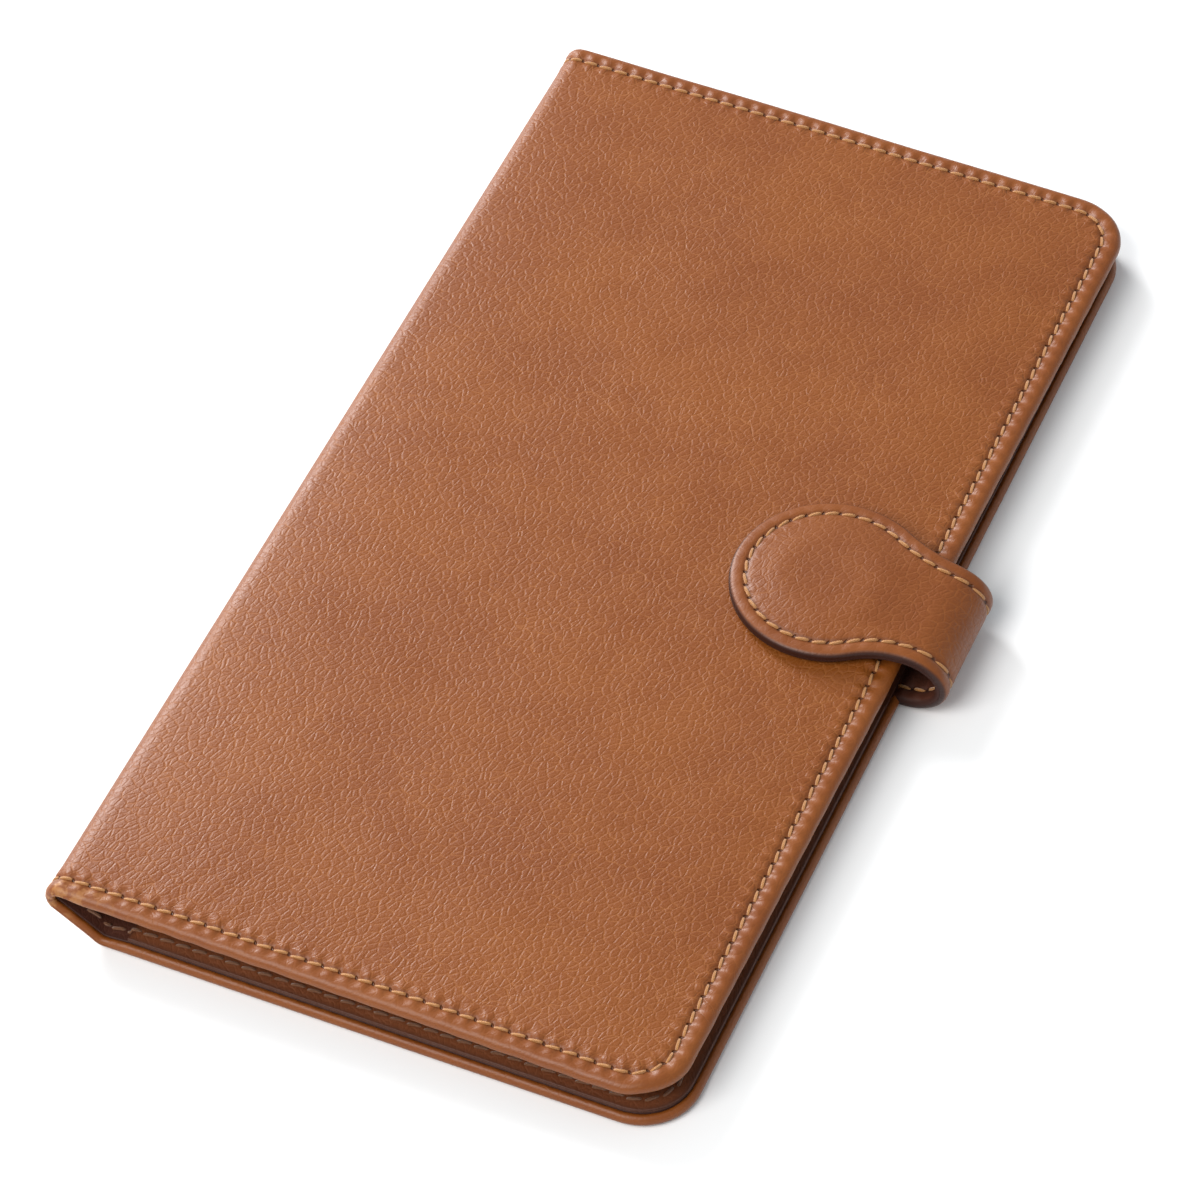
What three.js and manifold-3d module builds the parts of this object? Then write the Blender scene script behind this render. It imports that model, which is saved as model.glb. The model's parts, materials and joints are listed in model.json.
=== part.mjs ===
// A long leather wallet, closed: two turned-edge covers joined by a soft spine, pockets and card
// slots sewn inside, and a round-ended tab that loops over the free edge to a magnetic snap.
// The covers lie in XY with the spine along Y on the -X side. Outside faces are Z = 0 (back
// cover, resting) and Z = CLOSED_THICKNESS (front cover). Millimetres and degrees.
import * as THREE from "three";
import { mergeVertices } from "three/addons/utils/BufferGeometryUtils.js";
import Module from "manifold-3d";

// ---- Covers ----
const COVER_LENGTH = 230; // along the spine
const COVER_WIDTH = 120; // spine line to the back cover's free edge
const FRONT_SHORTFALL = 1; // the front cover stops this far inside the back cover's free edge
const CLOSED_THICKNESS = 12; // outside face to outside face
const CORNER_RADIUS = 11;
const LAYER_GAP = 0.05; // clearance between glued or sewn layers
const LEATHER = 1;
const BOARD = 0.4;
const TURN_IN = 0.45; // skived leather margin folded to the inside
const TURN_IN_WIDTH = 9;
const LINING = 0.45;
const LINING_INSET = 1.4; // the lining stops this far from the cover's edge

// ---- Seams ----
const SEAM_INSET = 3.6; // seam line from the edge of a cover
const TAB_SEAM_INSET = 3;
const THREAD = 0.5; // thread width, and the width of the groove that it is sewn into
const THREAD_SINK = 0.35; // depth of the groove
const THREAD_CLEARANCE = 0.05;
const SPINE_SEAM_MARGIN = 0.5; // a cover's thread starts this far from its fold

// ---- Spine ----
const SPINE_LEAN = 50; // slope of the spine from the table, closed
const BACK_BEND_X = 10; // the back cover's fold line
const SPINE_BULGE = 0.8; // sagitta of the spine's outward curve
const FOLD_CLEARANCE = 0.4; // between layers that meet at a fold

// ---- Pockets ----
const POCKET = 0.4;
const POCKET_SPINE_MARGIN = 4; // from the lining's spine edge to a pocket's sewn edge
const TICKET_MOUTH = 20; // a ticket pocket's mouth, from the far end of the cover
const PASSPORT_POCKET_HEIGHT = 100;
const THUMB_NOTCH_RADIUS = 9;
const CARD_SLOTS = 4;
const SLOT_LEATHER = 0.4;
const SLOT_WIDTH = 92;
const SLOT_HEIGHT = 52;
const SLOT_STEP = 14; // between the mouths of neighbouring slots
const SLOT_MARGIN = 11; // from the ticket pocket's mouth to the first slot's mouth

// ---- Magnetic snap ----
const SNAP_INSET = 18.5; // snap centre from the back cover's free edge
const SNAP_RADIUS = 7.4;
const SNAP_SHEET = 0.2; // brass sheet of the case, plates and washers
const MAGNET = 0.55;
const NIPPLE_RADIUS = 1.7;
const NIPPLE_CLEARANCE = 0.4;
const SNAP_AIR = 0.1; // between the mated halves
const PRONG_OFFSET = 3.6;
const PRONG_WIDTH = 2.4;
const PRONG = 0.3;
const PRONG_FOOT = 2.4;

// ---- Tab and strap ----
const TAB_RADIUS = 18.6;
const STRAP_WIDTH = 24.8;
const TAB_SHOULDER = 23; // radius of the concave shoulder between tab and strap
const TAB_LEATHER = 0.85;
const TAB_CORE = 2 * SNAP_SHEET + 2 * LAYER_GAP; // as thick as the snap's washer and bent prongs
const TAB_CORE_INSET = 3.4;
const STRAP_OFFSET = 2; // the strap and its snap sit this far beyond the middle of the edge
const LOOP_REACH = 8.4; // how far the strap's loop stands out past the back cover
const STRAP_JOINTS = 5; // bends that share the half turn of the loop
const BEND_RELIEF = 0.15; // kept clear at each bend
const TONGUE = 14; // skived strap end held inside the back cover
const TONGUE_CLEARANCE = 0.3;

const ARC_SEGMENTS = 10;

const wasm = await Module();
wasm.setup();

const leatherFinish = { color: 0xa5622f, roughness: 0.55, metalness: 0 };
const liningFinish = { color: 0x6e3c22, roughness: 0.75, metalness: 0 };
const threadFinish = { color: 0xc08a4a, roughness: 0.6, metalness: 0 };
const boardFinish = { color: 0xb9a88c, roughness: 0.9, metalness: 0 };
const brassFinish = { color: 0xb08a4a, roughness: 0.35, metalness: 1 };
const magnetFinish = { color: 0x3a3a3c, roughness: 0.6, metalness: 0.3 };

// ---- Layers, as depths from a cover's outside face ----
function stackLayers(start, ...thicknesses) {
  let depth = start;
  return thicknesses.map((thickness) => {
    const layer = [depth, depth + thickness];
    depth += thickness + LAYER_GAP;
    return layer;
  });
}

const [LEATHER_AT, BOARD_AT, TURN_IN_AT, LINING_AT, TICKET_AT, PASSPORT_AT] = stackLayers(
  0, LEATHER, BOARD, TURN_IN, LINING, POCKET, POCKET,
);
const SLOTS_AT = stackLayers(TICKET_AT[1] + LAYER_GAP, ...Array(CARD_SLOTS).fill(SLOT_LEATHER));

const backSide = (depth) => depth;
const frontSide = (depth) => CLOSED_THICKNESS - depth;

// ---- Geometry helpers ----
function named(name, geometry, finish) {
  const mesh = new THREE.Mesh(geometry, new THREE.MeshStandardMaterial(finish));
  mesh.name = name;
  return mesh;
}

function solid(geometry) {
  const bare = geometry.clone().deleteAttribute("normal").deleteAttribute("uv");
  const merged = mergeVertices(bare, 1e-4);
  return new wasm.Manifold(
    new wasm.Mesh({
      numProp: 3,
      vertProperties: merged.attributes.position.array,
      triVerts: new Uint32Array(merged.index.array),
    }),
  );
}

function geometryOf(manifold) {
  const { vertProperties, triVerts } = manifold.getMesh();
  const geometry = new THREE.BufferGeometry();
  geometry.setAttribute("position", new THREE.BufferAttribute(vertProperties, 3));
  geometry.setIndex(new THREE.BufferAttribute(triVerts, 1));
  geometry.computeVertexNormals();
  return geometry;
}

function cut(geometry, ...tools) {
  return geometryOf(tools.reduce((body, tool) => body.subtract(solid(tool)), solid(geometry)));
}

function join(geometry, ...others) {
  return geometryOf(others.reduce((body, other) => body.add(solid(other)), solid(geometry)));
}

// A flat sheet of an XY outline between two heights, given in either order.
function sheet(outline, zA, zB) {
  const depth = Math.abs(zB - zA);
  const options = { depth, bevelEnabled: false, curveSegments: ARC_SEGMENTS };
  return new THREE.ExtrudeGeometry(outline, options).translate(0, 0, Math.min(zA, zB));
}

// A strip of an XZ outline, running along Y from -length / 2 to length / 2 about yCentre.
function strip(outline, length, yCentre = 0) {
  const options = { depth: length, bevelEnabled: false, curveSegments: ARC_SEGMENTS };
  return new THREE.ExtrudeGeometry(outline, options)
    .rotateX(Math.PI / 2)
    .translate(0, yCentre + length / 2, 0);
}

function block(x0, x1, y0, y1, z0, z1) {
  return new THREE.BoxGeometry(x1 - x0, y1 - y0, z1 - z0).translate(
    (x0 + x1) / 2, (y0 + y1) / 2, (z0 + z1) / 2,
  );
}

function ring(outer, inner, z0, z1) {
  const profile = [
    [inner, z0], [outer, z0], [outer, z1], [inner, z1], [inner, z0],
  ].map(([r, z]) => new THREE.Vector2(r, z));
  return new THREE.LatheGeometry(profile, 4 * ARC_SEGMENTS).rotateX(Math.PI / 2);
}

function disc(radius, z0, z1) {
  return new THREE.CylinderGeometry(radius, radius, Math.abs(z1 - z0), 4 * ARC_SEGMENTS)
    .rotateX(Math.PI / 2)
    .translate(0, 0, (z0 + z1) / 2);
}

// A panel with square corners at the spine side and rounded ones at the free edge.
function panel(x0, x1, y0, y1, nearRadius, farRadius = nearRadius) {
  const shape = new THREE.Shape();
  shape.moveTo(x0, y0);
  shape.lineTo(x1 - nearRadius, y0);
  if (nearRadius > 0) {
    shape.absarc(x1 - nearRadius, y0 + nearRadius, nearRadius, -Math.PI / 2, 0);
  }
  shape.lineTo(x1, y1 - farRadius);
  if (farRadius > 0) {
    shape.absarc(x1 - farRadius, y1 - farRadius, farRadius, 0, Math.PI / 2);
  }
  shape.lineTo(x0, y1);
  return shape;
}

function coverPanel(spineX, freeX, inset) {
  const end = COVER_LENGTH / 2 - inset;
  return panel(spineX, freeX - inset, -end, end, Math.max(CORNER_RADIUS - inset, 1));
}

// ---- Fold geometry ----
// The fold lines lie in the middle of the outer leather. backFold is where it leaves the back
// cover, and frontFold is where it meets the front cover.
const leanAngle = THREE.MathUtils.degToRad(SPINE_LEAN);
const backFold = new THREE.Vector2(BACK_BEND_X, LEATHER / 2);
const spineRise = CLOSED_THICKNESS - LEATHER;
const spineChord = spineRise / Math.sin(leanAngle);
const frontFold = new THREE.Vector2(
  backFold.x - spineRise / Math.tan(leanAngle),
  backFold.y + spineRise,
);
const spineRadius = spineChord ** 2 / (8 * SPINE_BULGE) + SPINE_BULGE / 2;
const spineHalfTurn = Math.asin(spineChord / 2 / spineRadius);

// How far from a fold line a layer starts, so that two layers whose inner faces lie `depth`
// under their outside faces don't meet inside a fold of the given opening angle.
function foldSetback(depth, opening) {
  const inward = Math.max(depth - LEATHER / 2, LEATHER / 2);
  return inward / Math.tan(opening / 2) + FOLD_CLEARANCE;
}

const backOpening = Math.PI - leanAngle + spineHalfTurn;
const frontOpening = leanAngle + spineHalfTurn;
const backStart = ([, depth]) => backFold.x + foldSetback(depth, backOpening);
const frontStart = ([, depth]) => frontFold.x + foldSetback(depth, frontOpening);

// ---- Covers ----
// The outer leather with its margin turned in round the board on three sides. notches are
// tools that are cut from it.
function turnedLeather(side, startOf, freeX, ...notches) {
  const blank = sheet(
    coverPanel(startOf(LEATHER_AT), freeX, 0),
    side(LEATHER_AT[0]), side(TURN_IN_AT[1]),
  );
  const past = COVER_WIDTH;
  const boardRoom = sheet(
    coverPanel(-past, freeX, LEATHER), side(LEATHER_AT[1]), side(TURN_IN_AT[0]),
  );
  const flangeRoom = sheet(
    coverPanel(-past, freeX, TURN_IN_WIDTH), side(BOARD_AT[0]), side(TURN_IN_AT[1] + LEATHER),
  );
  const foldRoom = block(
    -past, startOf(TURN_IN_AT), -COVER_LENGTH, COVER_LENGTH,
    Math.min(side(LEATHER_AT[1]), side(TURN_IN_AT[1] + LEATHER)),
    Math.max(side(LEATHER_AT[1]), side(TURN_IN_AT[1] + LEATHER)),
  );
  return cut(blank, boardRoom, flangeRoom, foldRoom, ...notches);
}

function coverLayer(side, startOf, freeX, layer, inset, ...notches) {
  const geometry = sheet(coverPanel(startOf(layer), freeX, inset), side(layer[0]), side(layer[1]));
  return notches.length ? cut(geometry, ...notches) : geometry;
}

// A pocket panel over the lining, sewn on the spine side, the free edge and the near end.
function pocketPanel(startOf, freeX, mouthY) {
  const x0 = startOf(LINING_AT) + POCKET_SPINE_MARGIN;
  const near = LINING_INSET - COVER_LENGTH / 2;
  return panel(x0, freeX - LINING_INSET, near, mouthY, CORNER_RADIUS - LINING_INSET, 0);
}

// ---- Seam threads ----
// The strip that a seam covers along the three free sides of a cover. play widens it to the
// groove that the thread lies in.
function seamStrip(side, startOf, freeX, play) {
  const middle = SEAM_INSET;
  const half = THREAD / 2 + play;
  const x0 = startOf(LEATHER_AT) + SPINE_SEAM_MARGIN - play;
  const top = side(-play);
  const foot = side(THREAD_SINK + play);
  const outer = sheet(coverPanel(x0, freeX, middle - half), foot, top);
  const inner = sheet(coverPanel(x0 - 1, freeX, middle + half), foot - 1, top + 1);
  return cut(outer, inner);
}

const ticketMouthY = COVER_LENGTH / 2 - TICKET_MOUTH;
const frontFreeX = COVER_WIDTH - FRONT_SHORTFALL;

// ---- Strap chain: joints on the strap's mid-surface, from the back cover round to the tab ----
const tabThickness = 2 * TAB_LEATHER + TAB_CORE + 2 * LAYER_GAP;
const strapLeather = (tabThickness - LAYER_GAP) / 2;
const strapRootZ = BOARD_AT[1] + LAYER_GAP / 2;
const snapTopZ = CLOSED_THICKNESS + 2 * LAYER_GAP + SNAP_SHEET + MAGNET + LAYER_GAP + SNAP_SHEET;
const studZ = snapTopZ + SNAP_AIR; // underside of the stud plate
const tabUnderZ = studZ + SNAP_SHEET + LAYER_GAP;
const tabMidZ = tabUnderZ + tabThickness / 2;
const bend = Math.PI / STRAP_JOINTS;
const links = Array.from({ length: STRAP_JOINTS - 1 }, (_, i) => i + 1);
const linkLength =
  (tabMidZ - strapRootZ) / links.reduce((sum, i) => sum + Math.sin(i * bend), 0);
const loopDepth = links.reduce((sum, i) => sum + linkLength * Math.max(Math.cos(i * bend), 0), 0);
const firstJointX = COVER_WIDTH + LOOP_REACH - tabThickness / 2 - loopDepth;

// The cut-outs that the strap's skived end needs in the back cover.
function tongueRoom(z0, z1) {
  const half = STRAP_WIDTH / 2 + TONGUE_CLEARANCE;
  const room = block(
    COVER_WIDTH - TONGUE - TONGUE_CLEARANCE, COVER_WIDTH + TONGUE, -half, half, z0, z1,
  );
  return atStrap(room);
}

// Moves a strap-centred shape on to the covers, whose own middle is at y = 0.
function atStrap(geometry) {
  return geometry.translate(0, STRAP_OFFSET, 0);
}

// ---- Snap room in the front cover ----
const snapX = COVER_WIDTH - SNAP_INSET;

function atSnap(geometry) {
  return geometry.translate(snapX, 0, 0);
}

// Slots for the two prongs, about the snap's own centre.
function prongHoles(z0, z1) {
  const x = PRONG / 2 + LAYER_GAP;
  const y = PRONG_WIDTH / 2 + LAYER_GAP;
  return [-PRONG_OFFSET, PRONG_OFFSET].map((centre) =>
    block(centre - x, centre + x, -y, y, z0, z1),
  );
}

function prongSlots(z0, z1) {
  return prongHoles(z0, z1).map(atSnap);
}

const washerRoomRadius = SNAP_RADIUS + TONGUE_CLEARANCE;

function backCover() {
  const group = new THREE.Group();
  const add = (name, geometry, finish) => group.add(named(name, geometry, finish));
  const room = tongueRoom(LEATHER_AT[1], TURN_IN_AT[0]);
  add(
    "back_outer_leather",
    turnedLeather(
      backSide, backStart, COVER_WIDTH, room,
      seamStrip(backSide, backStart, COVER_WIDTH, THREAD_CLEARANCE),
    ),
    leatherFinish,
  );
  add("back_seam_thread", seamStrip(backSide, backStart, COVER_WIDTH, 0), threadFinish);
  add(
    "back_board",
    coverLayer(backSide, backStart, COVER_WIDTH, BOARD_AT, LEATHER + LAYER_GAP, room),
    boardFinish,
  );
  add(
    "back_padding",
    coverLayer(backSide, backStart, COVER_WIDTH, TURN_IN_AT, TURN_IN_WIDTH + LAYER_GAP),
    boardFinish,
  );
  add(
    "back_lining",
    coverLayer(backSide, backStart, COVER_WIDTH, LINING_AT, LINING_INSET),
    liningFinish,
  );
  add(
    "back_ticket_pocket",
    sheet(pocketPanel(backStart, COVER_WIDTH, ticketMouthY), TICKET_AT[0], TICKET_AT[1]),
    leatherFinish,
  );
  add("back_passport_pocket", passportPocket(backStart), leatherFinish);
  return group;
}

function passportPocket(start) {
  const mouthY = LINING_INSET - COVER_LENGTH / 2 + PASSPORT_POCKET_HEIGHT;
  const flat = sheet(pocketPanel(start, COVER_WIDTH, mouthY), PASSPORT_AT[0], PASSPORT_AT[1]);
  const middleX = (start(LINING_AT) + POCKET_SPINE_MARGIN + COVER_WIDTH - LINING_INSET) / 2;
  const notch = disc(THUMB_NOTCH_RADIUS, LINING_AT[0], PASSPORT_AT[1] + POCKET);
  return cut(flat, notch.translate(middleX, mouthY, 0));
}

function frontCover() {
  const group = new THREE.Group();
  const add = (name, geometry, finish) => group.add(named(name, geometry, finish));
  const washerRoom = () =>
    atStrap(
      atSnap(
        disc(washerRoomRadius, frontSide(LEATHER_AT[1] - LAYER_GAP), frontSide(LINING_AT[0])),
      ),
    );
  add(
    "front_outer_leather",
    turnedLeather(
      frontSide, frontStart, frontFreeX,
      ...prongSlots(frontSide(BOARD_AT[1]), CLOSED_THICKNESS + LEATHER).map(atStrap),
      seamStrip(frontSide, frontStart, frontFreeX, THREAD_CLEARANCE),
    ),
    leatherFinish,
  );
  add("front_seam_thread", seamStrip(frontSide, frontStart, frontFreeX, 0), threadFinish);
  add(
    "front_board",
    coverLayer(frontSide, frontStart, frontFreeX, BOARD_AT, LEATHER + LAYER_GAP, washerRoom()),
    boardFinish,
  );
  add(
    "front_padding",
    coverLayer(
      frontSide, frontStart, frontFreeX, TURN_IN_AT, TURN_IN_WIDTH + LAYER_GAP, washerRoom(),
    ),
    boardFinish,
  );
  add(
    "front_lining",
    coverLayer(frontSide, frontStart, frontFreeX, LINING_AT, LINING_INSET),
    liningFinish,
  );
  add(
    "front_ticket_pocket",
    sheet(
      pocketPanel(frontStart, frontFreeX, ticketMouthY),
      frontSide(TICKET_AT[0]), frontSide(TICKET_AT[1]),
    ),
    leatherFinish,
  );
  cardSlots(frontStart).forEach((slot) => group.add(slot));
  const magnetHalf = new THREE.Group();
  magnetHalf.add(...snapMagnetHalf());
  magnetHalf.position.y = STRAP_OFFSET;
  group.add(magnetHalf);
  return group;
}

// Overlapping card slots, numbered from the innermost, whose mouth is furthest from the near end.
function cardSlots(start) {
  const middleX = (start(LINING_AT) + POCKET_SPINE_MARGIN + frontFreeX - LINING_INSET) / 2;
  return SLOTS_AT.map((layer, i) => {
    const mouthY = ticketMouthY - SLOT_MARGIN - i * SLOT_STEP;
    const outline = panel(
      middleX - SLOT_WIDTH / 2, middleX + SLOT_WIDTH / 2, mouthY - SLOT_HEIGHT, mouthY, 0,
    );
    const geometry = sheet(outline, frontSide(layer[0]), frontSide(layer[1]));
    return named(`card_slot_${i + 1}`, geometry, leatherFinish);
  });
}

// ---- Magnetic snap ----
// A plate with two prongs that pass `away` (+1 up, -1 down) through leather of the given
// thickness and a washer, and are bent flat past it. z is the plate's face on the leather.
function prongPlate(z, away, leather) {
  const washerTop = leather + 2 * LAYER_GAP + SNAP_SHEET;
  const reach = washerTop + LAYER_GAP + SNAP_SHEET;
  const span = (a, b) => [z + away * a, z + away * b].sort((p, q) => p - q);
  const plate = disc(SNAP_RADIUS - SNAP_SHEET - LAYER_GAP, ...span(-SNAP_SHEET, 0));
  const legs = [-1, 1].flatMap((sideSign) => {
    const inner = sideSign * PRONG_OFFSET - PRONG / 2;
    const footStart = sideSign > 0 ? inner : inner + PRONG - PRONG_FOOT;
    const width = [-PRONG_WIDTH / 2, PRONG_WIDTH / 2];
    return [
      block(inner, inner + PRONG, ...width, ...span(-SNAP_SHEET / 2, reach)),
      block(footStart, footStart + PRONG_FOOT, ...width, ...span(reach - SNAP_SHEET, reach)),
    ];
  });
  return { plate, legs };
}

function washer(z0, z1) {
  return cut(disc(SNAP_RADIUS, z0, z1), ...prongHoles(z0 - 1, z1 + 1));
}

// The half on the front cover: a brass case over a ring magnet on a pronged plate.
function snapMagnetHalf() {
  const face = CLOSED_THICKNESS + LAYER_GAP;
  const { plate, legs } = prongPlate(face, -1, LEATHER);
  const magnetZ = face + SNAP_SHEET + LAYER_GAP;
  const magnetRadius = SNAP_RADIUS - SNAP_SHEET - LAYER_GAP;
  const bore = NIPPLE_RADIUS + NIPPLE_CLEARANCE;
  const capZ = snapTopZ - SNAP_SHEET;
  const wall = ring(SNAP_RADIUS, SNAP_RADIUS - SNAP_SHEET, face, snapTopZ);
  const washerTop = CLOSED_THICKNESS - LEATHER - LAYER_GAP;
  return [
    named("magnet_plate", atSnap(join(plate, ...legs)), brassFinish),
    named("magnet_ring", atSnap(ring(magnetRadius, bore, magnetZ, magnetZ + MAGNET)), magnetFinish),
    named("magnet_case", atSnap(join(wall, ring(SNAP_RADIUS, bore, capZ, snapTopZ))), brassFinish),
    named("magnet_washer", atSnap(washer(washerTop - SNAP_SHEET, washerTop)), brassFinish),
  ];
}

// The half on the tab: a pronged stud plate whose nipple drops into the magnet's bore.
function snapStudHalf() {
  const { plate, legs } = prongPlate(studZ + SNAP_SHEET, 1, TAB_LEATHER);
  const nippleFoot = CLOSED_THICKNESS + 3 * LAYER_GAP + SNAP_SHEET;
  const nipple = disc(NIPPLE_RADIUS, nippleFoot, studZ + SNAP_SHEET / 2);
  const washerFoot = tabUnderZ + TAB_LEATHER + LAYER_GAP;
  return [
    named("stud_plate", atSnap(join(plate, nipple, ...legs)), brassFinish),
    named("stud_washer", atSnap(washer(washerFoot, washerFoot + SNAP_SHEET)), brassFinish),
  ];
}

// ---- Spine ----
// A band of the spine between two depths from its outside face. trim is how far along the
// spine it starts from each fold line.
function spineBand([outer, inner], trim) {
  const along = new THREE.Vector2(frontFold.x - backFold.x, frontFold.y - backFold.y).normalize();
  const inward = new THREE.Vector2(along.y, -along.x);
  const middle = backFold.clone().add(frontFold).multiplyScalar(0.5);
  const centre = middle.clone().addScaledVector(inward, spineRadius - SPINE_BULGE);
  const towards = Math.atan2(-inward.y, -inward.x);
  const halfTurn = (backTrim) => spineHalfTurn - backTrim / spineRadius;
  const shape = new THREE.Shape();
  const arc = (radius, from, to, clockwise) =>
    shape.absarc(centre.x, centre.y, radius, from, to, clockwise);
  const backEnd = towards + halfTurn(trim.back);
  const frontEnd = towards - halfTurn(trim.front);
  arc(spineRadius + LEATHER / 2 - outer, backEnd, frontEnd, true);
  arc(spineRadius + LEATHER / 2 - inner, frontEnd, backEnd, false);
  return shape;
}

function spine() {
  const trimFor = ([, depth]) => ({
    back: foldSetback(depth, backOpening),
    front: foldSetback(depth, frontOpening),
  });
  // Without a board in the spine, the turned margin lies straight on the outer leather.
  const turnIn = [LEATHER, LEATHER + TURN_IN];
  const liningAt = [turnIn[1] + LAYER_GAP, turnIn[1] + LAYER_GAP + LINING];
  const overlap = LEATHER / 2;
  const margins = [-1, 1].map((end) =>
    strip(
      spineBand([turnIn[0] - overlap, turnIn[1]], trimFor(turnIn)),
      TURN_IN_WIDTH,
      end * (COVER_LENGTH - TURN_IN_WIDTH) / 2,
    ),
  );
  const outer = join(strip(spineBand(LEATHER_AT, trimFor(LEATHER_AT)), COVER_LENGTH), ...margins);
  const lining = strip(
    spineBand(liningAt, trimFor(liningAt)), COVER_LENGTH - 2 * LINING_INSET,
  );
  const group = new THREE.Group();
  group.add(named("spine_outer_leather", outer, leatherFinish));
  group.add(named("spine_lining", lining, liningFinish));
  return group;
}

// ---- Strap ----
// The strap is built along +X from a joint at the origin, with its outside face down. A link
// is cut back at its bends, more on the inside of the loop.
function bendRelief(z) {
  return BEND_RELIEF + Math.max(z, 0) * Math.tan(bend / 2);
}

function strapSection(length, z0, z1) {
  const shape = new THREE.Shape();
  shape.moveTo(bendRelief(z0), z0);
  shape.lineTo(length - bendRelief(z0), z0);
  shape.lineTo(length - bendRelief(z1), z1);
  shape.lineTo(bendRelief(z1), z1);
  return shape;
}

const strapOuterAt = [-tabThickness / 2, -LAYER_GAP / 2];
const strapLiningAt = [LAYER_GAP / 2, LAYER_GAP / 2 + strapLeather];

function strapLink(i) {
  const group = new THREE.Group();
  group.add(
    named(
      `strap_link_${i}_outer`,
      strip(strapSection(linkLength, ...strapOuterAt), STRAP_WIDTH), leatherFinish,
    ),
    named(
      `strap_link_${i}_lining`,
      strip(strapSection(linkLength, ...strapLiningAt), STRAP_WIDTH), liningFinish,
    ),
  );
  return group;
}

// The strap's fixed end: a skived tongue under the back cover's turned margin, and the first
// full-thickness stretch outside it.
function strapRoot() {
  const startX = COVER_WIDTH + TONGUE_CLEARANCE;
  const endX = firstJointX - BEND_RELIEF;
  const half = STRAP_WIDTH / 2;
  const outer = block(
    startX, endX, -half, half, strapRootZ + strapOuterAt[0], strapRootZ + strapOuterAt[1],
  );
  const tongue = block(
    COVER_WIDTH - TONGUE, endX - BEND_RELIEF, -half, half,
    BOARD_AT[0], strapRootZ + strapOuterAt[1],
  );
  const lining = strip(
    strapSection(firstJointX - startX, ...strapLiningAt), STRAP_WIDTH,
  ).translate(startX, 0, strapRootZ);
  const group = new THREE.Group();
  group.add(named("strap_root_outer", join(outer, tongue), leatherFinish));
  group.add(named("strap_root_lining", lining, liningFinish));
  return group;
}

// Each link hangs from the one before it, turned by one bend, and the tab from the last.
function strapChain() {
  const chain = new THREE.Group();
  chain.position.set(firstJointX, 0, strapRootZ);
  chain.rotation.y = -bend;
  links.reduce((parent, i) => {
    const link = strapLink(i);
    parent.add(link);
    link.position.x = i > 1 ? linkLength : 0;
    link.rotation.y = i > 1 ? -bend : 0;
    return link;
  }, chain);
  return chain;
}

// ---- Tab ----
// A round head that narrows through concave shoulders to the strap's width at the last joint.
// endRelief is how far its end stops short of the last joint.
function tabOutline(inset, endRelief = BEND_RELIEF) {
  const radius = TAB_RADIUS - inset;
  const half = STRAP_WIDTH / 2 - inset;
  const shoulder = TAB_SHOULDER + inset;
  const shoulderY = half + shoulder;
  const shoulderX = snapX + Math.sqrt((radius + shoulder) ** 2 - shoulderY ** 2);
  const tangent = Math.atan2(shoulderY, shoulderX - snapX);
  const endX = firstJointX - endRelief - inset;
  const shoulderEnd = Math.asin(Math.min((shoulderX - endX) / shoulder, 1));
  const shape = new THREE.Shape();
  shape.absarc(snapX, 0, radius, tangent, 2 * Math.PI - tangent, false);
  shape.absarc(
    shoulderX, -shoulderY, shoulder, Math.PI - tangent, Math.PI / 2 + Math.max(shoulderEnd, 0), true,
  );
  shape.lineTo(endX, -half);
  shape.lineTo(endX, half);
  shape.absarc(
    shoulderX, shoulderY, shoulder, -Math.PI / 2 - Math.max(shoulderEnd, 0), tangent - Math.PI, true,
  );
  return shape;
}

// The tab's seam, open at the last joint, where it runs on along the strap.
function tabSeamStrip(top, play) {
  const half = THREAD / 2 + play;
  const foot = top - THREAD_SINK - play;
  const outer = sheet(tabOutline(TAB_SEAM_INSET - half), foot, top + play);
  const inner = sheet(tabOutline(TAB_SEAM_INSET + half), foot - 1, top + 1);
  const endX = firstJointX - TAB_SEAM_INSET - THREAD + play;
  const pastEnd = block(endX, endX + STRAP_WIDTH, -STRAP_WIDTH, STRAP_WIDTH, foot - 1, top + 1);
  return cut(outer, inner, pastEnd);
}

function tab() {
  const liningTop = tabUnderZ + TAB_LEATHER;
  const coreFoot = liningTop + LAYER_GAP;
  const outerFoot = coreFoot + TAB_CORE + LAYER_GAP;
  const washerRoom = disc(washerRoomRadius, coreFoot - 1, outerFoot + 1);
  const core = cut(
    sheet(tabOutline(TAB_CORE_INSET), coreFoot, coreFoot + TAB_CORE), atSnap(washerRoom),
  );
  const innerRelief = bendRelief(tabThickness / 2);
  const lining = cut(
    sheet(tabOutline(0, innerRelief), tabUnderZ, liningTop),
    ...prongSlots(tabUnderZ - 1, liningTop + 1),
  );
  const top = outerFoot + TAB_LEATHER;
  const outer = cut(sheet(tabOutline(0), outerFoot, top), tabSeamStrip(top, THREAD_CLEARANCE));
  const group = new THREE.Group();
  group.add(
    named("tab_outer_leather", outer, leatherFinish),
    named("tab_seam_thread", tabSeamStrip(top, 0), threadFinish),
    named("tab_core", core, boardFinish),
    named("tab_lining", lining, liningFinish),
    ...snapStudHalf(),
  );
  return group;
}

// The origin is the middle of the closed covers' footprint, on the resting face.
const wallet = new THREE.Group();
const strap = new THREE.Group();
strap.add(strapRoot(), strapChain(), tab());
strap.position.y = STRAP_OFFSET;
wallet.add(backCover(), spine(), frontCover(), strap);
wallet.position.x = -COVER_WIDTH / 2;

export default wallet;
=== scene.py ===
"""Looks of a closed long leather wallet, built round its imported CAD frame.

Lengths are millimetres in the row frame until a mesh is made. Every layer of a cover is drawn
flat, as (q, y, depth): q is the distance from the cover's free edge towards the middle of the
spine, and depth is measured inwards from the outer face. warp() then lays it on the real,
slightly sagging cover, so that no layer cuts another.
"""

import json
import math

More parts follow.
